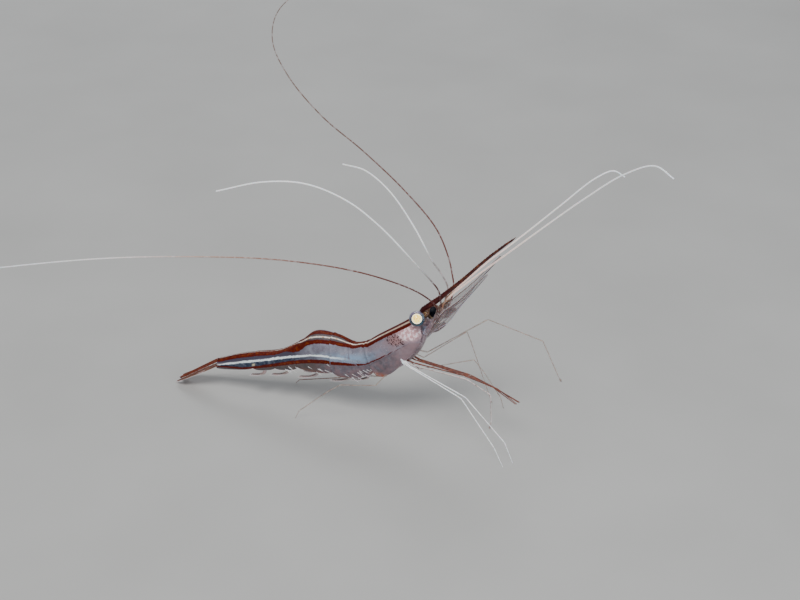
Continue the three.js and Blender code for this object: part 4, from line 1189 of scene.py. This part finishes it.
feelerForm = {
    "antenna_right": {
        "route": [(18.8, -3.3, 32.0), (18.8, -3.3, 32.9), (18.3, -3.7, 35.2), (16.8, -4.6, 37.2),
                  (13.3, -6.7, 40.2), (2.4, -11.3, 44.8), (-14.6, -16, 47.1), (-34, -20.7, 46.8),
                  (-53.8, -25.3, 45.1), (-74.5, -30, 41.8), (-92, -33.8, 38.2)],
        "radii": (0.19, 0.14), "rings": 330, "slot": "antenna",
        "tones": ((0.0, tone(66, 18, 16)), (0.04, tone(70, 22, 18)), (0.3, tone(112, 62, 46)),
                  (0.48, tone(170, 140, 126)), (0.66, tone(226, 222, 222)), (1.0, tone(236, 242, 248)))},
    "antenna_left": {
        "route": [(19.2, 3.2, 32.0), (19.3, 3.3, 32.8), (19.8, 4.3, 36.0), (18.9, 5.6, 39.2),
                  (17.3, 7.6, 42.1), (12.6, 12.3, 46.6), (3.1, 16.9, 52.8), (-8.3, 20.1, 59.7),
                  (-19.8, 23.1, 65.7), (-29.6, 26.2, 73.5), (-34.7, 29.4, 80.4), (-34.5, 32.4, 86.6),
                  (-28, 36, 92.5), (-17, 39.5, 95.4)],
        "radii": (0.2, 0.11), "rings": 340, "slot": "antenna",
        "tones": ((0.0, tone(92, 34, 26)), (0.3, tone(96, 52, 42)), (0.6, tone(104, 78, 68)),
                  (1.0, tone(128, 118, 112)))},
    "flagellum_back_right": {
        "route": [(18.6, -1.5, 33.4), (18.7, -1.6, 34.5), (18.3, -2.0, 38.2), (16.4, -2.7, 41.2),
                  (14.0, -3.7, 44.4), (6.2, -7.4, 54.9), (-0.6, -9.8, 61.1), (-9.2, -12.3, 64.9),
                  (-18.5, -14.3, 64.8), (-29.3, -16, 61.6)],
        "radii": (0.2, 0.17), "rings": 200, "slot": "flagellum",
        "tones": ((0.0, tone(66, 20, 18)), (0.1, tone(70, 26, 22)), (0.13, tone(136, 132, 132)),
                  (0.3, tone(244, 248, 250)), (1.0, tone(250, 252, 255)))},
    "flagellum_back_left": {
        "route": [(18.6, 1.5, 33.4), (18.7, 1.6, 34.5), (19.2, 1.9, 37.2), (17.2, 3.1, 39.9),
                  (14.6, 4.5, 41.9), (8.8, 7.8, 48.4), (1.8, 11.1, 54.6), (-5.2, 13.8, 57.7),
                  (-11.8, 16, 57.5)],
        "radii": (0.2, 0.17), "rings": 150, "slot": "flagellum",
        "tones": ((0.0, tone(130, 108, 106)), (0.24, tone(138, 134, 134)), (0.36, tone(244, 248, 250)),
                  (1.0, tone(250, 252, 255)))},
    "flagellum_front_left": {
        "route": [(18.6, 1.5, 33.8), (18.9, 1.5, 34.6), (20.3, 1.6, 36.5), (24.7, 2.3, 41.3),
                  (28.6, 3.1, 45.4), (31.9, 3.8, 48.5), (37.1, 5.1, 53.5), (43.5, 6, 60),
                  (50.9, 7.6, 67.2), (54.4, 8.8, 68.9), (56.7, 10, 67.3)],
        "radii": (0.22, 0.16), "rings": 200, "slot": "flagellum",
        "tones": ((0.0, tone(140, 98, 74)), (0.05, tone(160, 122, 96)), (0.09, tone(255, 220, 206)),
                  (0.3, tone(255, 226, 216)), (0.5, tone(250, 242, 238)), (1.0, tone(240, 246, 255)))},
    "flagellum_front_right": {
        "route": [(19.0, -1.5, 33.5), (19.3, -1.5, 34.9), (20.8, -1.5, 37.1), (25.6, -1.8, 42.1),
                  (30.3, -2.3, 46.8), (33.3, -3.2, 49.9), (42.8, -5, 59.5), (52, -6.8, 68.6),
                  (60.8, -8.5, 76.4), (67.4, -10.2, 79.9), (71.7, -12, 78.5)],
        "radii": (0.22, 0.16), "rings": 240, "slot": "flagellum",
        "tones": ((0.0, tone(130, 88, 68)), (0.035, tone(150, 112, 90)), (0.06, tone(255, 220, 206)),
                  (0.3, tone(255, 228, 218)), (0.5, tone(250, 244, 240)), (1.0, tone(240, 246, 255)))},
}


def makeFeelers():
    for node, form in feelerForm.items():
        finish = makeFeelerFinish(node.replace("_", " "), form["tones"])
        words = node.split("_")
        name = words[0] + "".join(word.capitalize() for word in words[1:])
        mesh = feelerMesh(name, form["route"], finish, *form["radii"], form["rings"])
        addPiece(name, mesh, None, form["slot"], node)


makeFeelers()
print("feelers made")

# Antennal scales.

scaleForm = {
    "root": (16.8, 5.1, 27.6), "tip": (30.6, 4.7, 46.0), "outward": (0.35, 0.72, -0.6),
    "thickness": 0.2, "arch": 0.25, "ridge": (0.13, 0.05),
    "hairs": 130, "hairReach": 0.7, "hairLean": (0.6, 1.8),  # leaning more toward the tip
    "outer": [(0, 0.1), (0.1, 0.1), (0.2, 0.75), (0.3, 1.5), (0.4, 1.45), (0.5, 1.03), (0.6, 0.75),
              (0.8, 0.6), (0.9, 0.5), (1, 0.3)],
    "inner": [(0, 0.4), (0.1, 1.2), (0.2, 1.9), (0.3, 2.0), (0.4, 1.55), (0.5, 1.05), (0.6, 0.7), (0.8, 0.55),
              (0.9, 0.45), (1, 0.15)],
}


def bladeFrame(root, tip, acrossHint):
    along = unit(np.array(tip, float) - np.array(root, float))
    hint = np.array(acrossHint, float)
    across = unit(hint - along * (hint @ along))
    return along, across, np.cross(along, across)


def leafPart(root, tip, acrossHint, outer, inner, thickness, arch, rows=60, columns=17):
    # a thin leaf from root to tip; outer and inner give its two edges as functions of the share of its length
    along, across, normal = bladeFrame(root, tip, acrossHint)
    start = np.array(root, float)
    length = np.linalg.norm(np.array(tip, float) - start)
    share = np.linspace(0, 1, rows)
    sweep = np.linspace(1, -1, columns)
    grid = np.zeros((rows, columns, 3))
    for i, s in enumerate(share):
        high, low = outer(s), inner(s)
        offsets = (high + low) / 2 + max((high - low) / 2, 1e-3) * sweep
        arched = normal * (arch * (1 - sweep ** 2))[:, None]
        grid[i] = start + along * (length * s) + across * offsets[:, None] + arched
    leaf = shellPart(grid, thickness, 0.3, edge=np.tile(np.abs(sweep) ** 3, (rows, 1)),
                     across=np.tile(sweep, (rows, 1)), along=np.repeat(share[:, None], columns, 1))
    return leaf, grid


def ribPart(places, widths, heights, count, **values):  # a raised rib along a leaf
    route = splineAt(places, np.linspace(0, len(places) - 1, count))
    return tubePart(ringsAlong(route, np.linspace(*widths, count), np.linspace(*heights, count), 8), **values)


def makeScales():
    form = scaleForm
    finish = makeBladeFinish("antennal scale", tone(128, 112, 112), tone(168, 156, 158), tone(104, 44, 36),
                             0.3, (tone(190, 194, 206), 0.3))

    def outer(s):
        return tableAt(form["outer"], s)

    def inner(s):
        return -tableAt(form["inner"], s)

    for side, sign in sides.items():
        root, tip, outward = mirroredPoints([form["root"], form["tip"], form["outward"]], sign)
        leaf, grid = leafPart(root, tip, outward, outer, inner, form["thickness"], form["arch"] * sign)
        rib = ribPart([grid[1, 3], grid[30, 3], grid[-1, 1]], form["ridge"], form["ridge"], 30, edge=0.75,
                      across=1.0)
        name, node = "antennalScale" + side.capitalize(), f"scale_{side}"
        addPiece(name, meshOf(name, joined(leaf, rib)), finish, "blade", node)
        inward = grid[:, -1]
        picks = np.linspace(8, len(inward) - 2, form["hairs"])
        roots = np.stack([np.interp(picks, range(len(inward)), inward[:, k]) for k in range(3)], 1)
        along, across, _ = bladeFrame(root, tip, outward)
        lean = np.linspace(*form["hairLean"], form["hairs"])[:, None]
        name = "scaleFringe" + side.capitalize()
        fringe = bristleMesh(name, roots, along * lean - across, form["hairReach"], finishes["bristle"],
                             seed=7, **fineHair)
        addPiece(name, fringe, None, "blade", node)


makeScales()
print("scales made")

# Legs.

legForm = {
    "redRadii": [0.27, 0.17, 0.15, 0.14, 0.12, 0.1, 0.07],
    "walkingRadii": [0.2, 0.13, 0.125, 0.125, 0.11, 0.09],
    "limbs": {  # joints from inside the body to the tip, and the finish
        ("maxilliped", "right"): ([(10.2, -1.0, 19.4), (12.6, -1.1, 18.7), (24.9, -1.9, 17.5),
                                   (31.0, -2.2, 16.3), (38.3, -3.0, 13.5)], "redLeg"),
        ("maxilliped", "left"): ([(10.2, 0.9, 19.0), (12.6, 1.0, 17.7), (24.9, 0.6, 16.1), (31.0, 0.2, 14.4),
                                  (36.6, 0.2, 10.9)], "redLeg"),
        ("leg_1", "right"): ([(10.0, -2.1, 19.2), (12.4, -2.3, 18.6), (24.9, -2.9, 18.0), (32.8, -3.6, 16.6),
                              (39.0, -4.8, 14.8)], "redLeg"),
        ("leg_1", "left"): ([(10.2, 1.9, 18.2), (12.4, 2.1, 17.2), (24.9, 2.0, 15.5), (32.0, 1.8, 13.0),
                             (36.4, 2.0, 9.9)], "redLeg"),
        ("leg_2", "right"): ([(10.2, -2.8, 19.2), (11.8, -3.1, 18.5), (26.1, -4.2, 17.9), (32.0, -4.9, 15.4),
                              (32.6, -5.6, 9.0), (32.2, -5.8, 6.8)], "pinkLeg"),
        ("leg_2", "left"): ([(10.4, 2.6, 19.4), (13.6, 4.2, 18.2), (27.4, 6.7, 28.2), (39.8, 10.2, 23.0),
                             (42.9, 12.2, 14.0), (43.9, 13.0, 11.3)], "tanLeg"),
        # Legs 3 and 4 are white and glowing on the near side, tan and see-through on the far side: painted
        # light and painted shade.
        ("leg_3", "right"): ([(9.8, -2.6, 19.2), (12.3, -4.4, 18.8), (25.0, -5.7, 14.55), (26.5, -6.0, 14.1),
                              (36.4, -7.3, 4.9), (38.6, -7.7, 0)], "whiteLeg"),
        ("leg_3", "left"): ([(9.4, 2.9, 18.4), (12.6, 4.5, 16.4), (22.0, 8.0, 23.3), (22.6, 9.6, 19.6),
                             (25.4, 14.6, 4.2), (26.1, 16.2, 0)], "tanLeg"),
        ("leg_4", "right"): ([(9.4, -2.8, 19.5), (12.0, -5.4, 19.4), (25.0, -7.4, 14.95), (26.0, -7.7, 14.6),
                              (34.6, -9.6, 4.5), (37.0, -10.1, 0)], "whiteLeg"),
        ("leg_4", "left"): ([(8.0, 2.8, 16.8), (11.6, 4.2, 13.2), (24.0, 7.5, 16.4), (26.0, 9.1, 12.6),
                             (29.0, 13.6, 3.6), (29.4, 14.8, 0)], "tanLeg"),
        ("leg_5", "right"): ([(6.6, -2.6, 15.4), (3.5, -3.6, 11.4), (-5.0, -5.0, 10.6), (-8.0, -5.5, 8.4),
                              (-15.0, -6.3, 2.2), (-16.0, -6.5, 0)], "tanLeg"),
        ("leg_5", "left"): ([(6.6, 2.4, 15.0), (3.5, 3.0, 10.2), (-5.4, 3.8, 8.4), (-9.4, 4.8, 6.3),
                             (-20.8, 7.8, 1.8), (-22.3, 8.8, 0)], "brownLeg"),
    },
    "standing": ("leg_3", "leg_4", "leg_5"), "palest": ("leg_3", "leg_4"),
    "joint": [(0, 0.25), (0.02, 0.72), (0.06, 0.95), (0.14, 0.98), (0.3, 0.9), (0.6, 0.9), (0.84, 0.98),
              (0.93, 1.12), (0.975, 0.92), (1, 0.3)],  # share of a joint's length and of its radius
    "lap": 0.4,  # how far a joint runs into its neighbours, in radii
    "footRadius": 0.06, "tipRadius": 0.08, "footLift": 0.03,
    "hairReach": 0.5, "hairThickness": 0.02, "hairsEach": 1.1,  # for each millimetre
    "bareBelow": 0.7,  # no bristles nearer the floor than this
    # The white base beside the near legs.
    "patch": [(10.0, -4.2, 20.2), (10.6, -4.6, 19.6), (11.2, -4.8, 19.0)],
    "patchRadii": [0.14, 0.2, 0.14],
    "fingerRadii": [0.12, 0.1, 0.04],
}


def limbSegment(a, b, startRadius, endRadius, corners=12):
    stops, shape = np.array(legForm["joint"], float).T
    radius = (startRadius + (endRadius - startRadius) * stops) * shape
    lap = legForm["lap"]
    reach = -startRadius * lap + stops * (np.linalg.norm(b - a) + startRadius * lap + endRadius * lap)
    path = a + unit(b - a) * reach[:, None]
    knuckle = climb(np.abs(stops - 0.5) * 2, 0.75, 1.0)
    tube = tubePart(ringsAlong(path, radius, radius, corners), knuckle=knuckle)
    tube["values"]["around"] = np.concatenate([np.tile(cornerAngles(corners) / (2 * math.pi), len(stops)),
                                               [0.5, 0.5]])
    return tube


def pincerParts(joints):  # the small pincer at the tip of the second leg
    tip, forward = joints[-1], unit(joints[-1] - joints[-2])
    aside = unit(np.cross(forward, (0, 1, 0)))
    fingers = []
    for turn in (-1, 1):
        finger = [tip - forward * 1.2, tip - forward * 0.6 + aside * 0.16 * turn, tip + aside * 0.05 * turn]
        fingers.append(roundedTube(finger, legForm["fingerRadii"], count=12, corners=8))
    return fingers


def makeLeg(limb, side):
    form = legForm
    stands = limb in form["standing"]
    radii = form["walkingRadii" if stands else "redRadii"]
    places, finish = form["limbs"][limb, side]
    joints = np.array(places, float)
    slotName = "pale_leg" if side == "right" and limb in form["palest"] else "red_leg"
    name, node = limb.replace("_", "") + side.capitalize(), f"{limb}_{side}"
    parts = []
    for k, (a, b) in enumerate(zip(joints, joints[1:])):
        start, end = radii[k], radii[k + 1]
        if k + 2 == len(joints):
            end = form["footRadius" if stands else "tipRadius"]
            b = b + np.array([0, 0, form["footLift"] if stands else 0])
        parts.append(limbSegment(a, b, start, end))
    if limb == "leg_2":
        parts += pincerParts(joints)
    if node == "leg_4_right":
        parts.append(roundedTube(form["patch"], form["patchRadii"], count=16))
    addPiece(name, meshOf(name, joined(*parts)), finishes[finish], slotName, node)
    roots, aims = [], []
    chance = np.random.default_rng(11 + len(name))
    for a, b in zip(joints[2:-1], joints[3:]):
        forward, length = unit(b - a), np.linalg.norm(b - a)
        for share in np.linspace(0.15, 0.97, int(length * form["hairsEach"]) + 3):
            around = unit(np.cross(forward, chance.normal(size=3)))
            root = a + (b - a) * share
            if root[2] > form["bareBelow"]:
                roots.append(root)
                aims.append(forward * 0.9 + around * 0.7)
    hairFinish = finishes["redBristle" if finish == "redLeg" else "bristle"]
    hairs = bristleMesh(name + "Hairs", roots, aims, form["hairReach"], hairFinish, form["hairThickness"],
                        corners=3, uneven=0.5, seed=5)
    addPiece(name + "Hairs", hairs, None, slotName, node)


for legLimb, legSide in legForm["limbs"]:
    makeLeg(legLimb, legSide)
print("legs made")

# Swimming legs.

swimForm = {
    "places": [0.55, 1.5, 3.0, 4.5, 5.5], "lengths": [4.6, 5.2, 5.2, 4.6, 4.0],
    "root": (0, 1.25, -0.3),  # from the belly's middle line
    # From root to tip, in shares of the length.
    "sweep": [(0.0, 0.25), (-0.14, -0.17), (-0.4, -0.3), (-0.72, -0.38), (-0.98, -0.42)],
    "stalkRadii": [0.5, 0.42, 0.25],
    "branches": ((0.0, 1.0), (0.55, 0.7)),  # lean to the side, and width
    "halfWidths": [0.42, 0.5, 0.8, 0.66, 0.1], "thickness": 0.12, "arch": 0.1,
    "rows": 24, "columns": 9, "hairReach": 0.9,
}


def branchPart(path, lean, width, sign):  # one leaf of a swimming leg, with the roots and aims of its fringe
    rows = swimForm["rows"]
    leaning = [p + np.array([0.1, lean * sign * (k / 4), -0.1 * lean]) for k, p in enumerate(path)]
    route = smoothRoute(leaning, rows)
    half = np.interp(np.linspace(1, 4, rows), range(5), swimForm["halfWidths"]) * width
    across = np.linspace(-1, 1, swimForm["columns"])
    sideways = np.array([0.0, 1.0, -0.15]) * sign
    grid = route[:, None] + across[None, :, None] * half[:, None, None] * sideways
    grid[..., 2] += swimForm["arch"] * (1 - across[None] ** 2)
    leaf = shellPart(grid, swimForm["thickness"], 0.3, edge=np.repeat(np.abs(across)[None] ** 3, rows, 0))
    forward = unit(np.gradient(route, axis=0))
    hairs = [(grid[k, edge], forward[k] + 0.6 * unit(grid[k, edge] - route[k]))
             for edge in (0, -1) for k in np.linspace(6, rows - 1, 20).astype(int)]
    return leaf, hairs


def makeSwimmingLegs():
    finish = makeBladeFinish("swimming leg", tone(136, 112, 112), tone(168, 146, 146), tone(190, 168, 166),
                             clear=0.4)
    for index, (place, length) in enumerate(zip(swimForm["places"], swimForm["lengths"])):
        _, bottom, _ = sliceAt("abdomen", np.array([place]))
        for side, sign in sides.items():
            start = bottom[0] + np.array(swimForm["root"]) * (1, sign, 1)
            path = [start + np.array([back * length, 0, down * length]) for back, down in swimForm["sweep"]]
            stalk = roundedTube(path[:3], swimForm["stalkRadii"], count=16, corners=10)
            stalk["values"]["edge"] = np.full(len(stalk["points"]), 0.9)
            leaves, hairs = [stalk], []
            for lean, width in swimForm["branches"]:
                leaf, fringe = branchPart(path[1:], lean, width, sign)
                leaves.append(leaf)
                hairs += fringe
            name, node = f"swimmingLeg{index + 1}" + side.capitalize(), f"pleopod_{index + 1}_{side}"
            addPiece(name, meshOf(name, joined(*leaves)), finish, "blade", node)
            roots, aims = zip(*hairs)
            fringe = bristleMesh(name + "Fringe", roots, aims, swimForm["hairReach"], finishes["bristle"],
                                 uneven=0.35, seed=3, **fineHair)
            addPiece(name + "Fringe", fringe, None, "blade", node)


makeSwimmingLegs()
print("swimming legs made")

# Tail fan: the telson and four blades beside it.

tailForm = {
    "root": (-38.8, 0, 8.3), "thickness": 0.2,
    "telson": {"slope": 34.0, "reach": (-0.3, 12.8), "widths": [2.4, 2.2, 1.8, 1.4, 0.9], "lower": 0.42,
               "out": (0, 0), "arch": 0.5, "hairReach": 0.35},
    "inner": {"slope": 32.5, "reach": (-1.0, 12.7), "widths": [1.2, 1.6, 1.7, 1.5, 0.9], "lower": 0.82,
              "out": (0.9, 1.2), "arch": 0.16, "hairReach": 0.6},
    "outer": {"slope": 30.0, "reach": (-0.8, 12.4), "widths": [1.1, 1.7, 1.9, 1.7, 1.0], "lower": 1.22,
              "out": (1.1, 1.7), "arch": 0.16, "hairReach": 0.6},
    "widthsAt": [0, 0.2, 0.5, 0.8, 0.96],
    "ribAcross": (0.24, 0.06), "ribUpright": (0.16, 0.05),
    "rows": 44, "columns": 15,
}


def tailSpot(form, end, sign):  # the middle of a blade's root, end 0, or of its tip, end 1
    slope, reach = math.radians(form["slope"]), form["reach"][end]
    away = (-math.cos(slope) * reach, form["out"][end] * sign, -math.sin(slope) * reach - form["lower"])
    return np.array(tailForm["root"]) + np.array(away)


def makeTailBlade(kind, side, finish):
    form, sign = tailForm[kind], sides.get(side, 0)
    rows, columns = tailForm["rows"], tailForm["columns"]
    begin, end = tailSpot(form, 0, sign), tailSpot(form, 1, sign)
    hint = (0, sign or -1, 0)
    along, across, normal = bladeFrame(begin, end, hint)

    def half(s):
        rounded = math.sqrt(max(1 - max(s - 0.9, 0) ** 2 / 0.0101, 0.02))
        return 0.5 * np.interp(s, tailForm["widthsAt"], form["widths"]) * rounded

    arch = form["arch"] * (1 if normal[2] > 0 else -1)
    leaf, grid = leafPart(begin, end, hint, half, lambda s: -half(s), tailForm["thickness"], arch, rows,
                          columns)
    if kind == "telson":
        leaf["values"]["across"] = np.abs(leaf["values"]["across"])
    spine = grid[:, columns // 2]
    rib = ribPart([spine[0] + (0, 0, 0.02), spine[rows // 2] + (0, 0, 0.04), spine[-3]],
                  tailForm["ribAcross"], tailForm["ribUpright"], 24, edge=0.0)
    node = f"uropod_{kind}_{side}" if side else kind
    name = f"tail{kind.capitalize()}{side.capitalize()}" if side else "telsonBlade"
    addPiece(name, meshOf(name, joined(leaf, rib)), finish, "tail_red", node)
    roots, aims = [], []
    for column, way in ((0, 1), (-1, -1)):
        for k in np.linspace(14, rows - 1, 56):
            low = int(k)
            high = min(low + 1, rows - 1)
            roots.append(grid[low, column] * (1 - k + low) + grid[high, column] * (k - low))
            aims.append(along * (0.9 + 0.05 * k) + across * way)
    for column in range(1, columns - 1):
        roots.append(grid[-1, column])
        aims.append(along)
    fringe = bristleMesh(name + "Fringe", roots, aims, form["hairReach"], finishes["bristle"], seed=9,
                         **fineHair)
    addPiece(name + "Fringe", fringe, None, "tail_red", node)


def makeTail():
    telson = makeBladeFinish("telson", tone(94, 26, 14), tone(140, 62, 28), tone(104, 36, 20), 1.0,
                             (tone(250, 250, 255), 0.42))
    fan = makeBladeFinish("tail fan", tone(104, 56, 40), tone(144, 102, 86), tone(160, 116, 102), 0.85)
    makeTailBlade("telson", "", telson)
    for kind in ("inner", "outer"):
        for side in sides:
            makeTailBlade(kind, side, fan)


makeTail()
print("tail made")

# Floor, light and camera.

studio = {
    "floorHalf": 4.0, "floorTones": (tone(193, 193, 191), tone(201, 201, 199)), "floorClouds": 0.02,
    "key": {"spot": (0.02, -0.5, 0.75), "size": 0.3, "power": 4.8, "tone": (1.0, 0.985, 0.96)},
    "fill": {"spot": (0.6, -0.3, 0.4), "size": 0.5, "power": 2.15, "tone": (0.93, 0.96, 1.0)},
    "back": {"spot": (-0.3, 0.6, 0.5), "size": 0.4, "power": 2.15, "tone": (0.95, 0.97, 1.0)},
    "lampsAim": (5, 0, 25),
    "skyTone": (0.9, 0.94, 1.0, 1.0), "sky": 0.187,
}
cameraForm = {"aim": (5.2, 8.4, 28.4), "spot": (138.1, -356.7, 235.0), "lens": 84.25, "clip": (0.01, 20.0)}


def makeStudio():
    half = studio["floorHalf"]
    mesh = bpy.data.meshes.new("floor")
    mesh.from_pydata([(-half, -half, 0), (half, -half, 0), (half, half, 0), (-half, half, 0)], [],
                     [(0, 1, 2, 3)])
    finish = Finish("pale floor", Roughness=0.9)
    clouds = finish.noise(studio["floorClouds"], 3.0)
    finish.paint(finish.ramp(clouds, *zip((0.3, 0.7), studio["floorTones"])))
    mesh.materials.append(finish.material)
    floor = bpy.data.objects.new("floor", mesh)
    bpy.context.scene.collection.objects.link(floor)
    for name in ("key", "fill", "back"):
        form = studio[name]
        lamp = bpy.data.lights.new(name, "AREA")
        lamp.size = form["size"]
        lamp.energy = form["power"]
        lamp.color = form["tone"]
        holder = bpy.data.objects.new(name, lamp)
        holder.location = form["spot"]
        aim = Vector(inFrame(studio["lampsAim"])) - Vector(form["spot"])
        holder.rotation_euler = aim.to_track_quat("-Z", "Y").to_euler()
        bpy.context.scene.collection.objects.link(holder)
    world = bpy.data.worlds.new("studio")
    world.use_nodes = True
    sky = world.node_tree.nodes["Background"]
    sky.inputs["Color"].default_value = studio["skyTone"]
    sky.inputs["Strength"].default_value = studio["sky"]
    bpy.context.scene.world = world


def makeCamera():
    camera = bpy.data.cameras.new("camera")
    camera.sensor_width = 36.0
    camera.lens = cameraForm["lens"]
    camera.clip_start, camera.clip_end = cameraForm["clip"]
    holder = bpy.data.objects.new("camera", camera)
    spot, aim = Vector(inFrame(cameraForm["spot"])), Vector(inFrame(cameraForm["aim"]))
    holder.location = spot
    holder.rotation_euler = (aim - spot).to_track_quat("-Z", "Y").to_euler()
    bpy.context.scene.collection.objects.link(holder)
    bpy.context.scene.camera = holder


makeStudio()
makeCamera()
print("studio made")
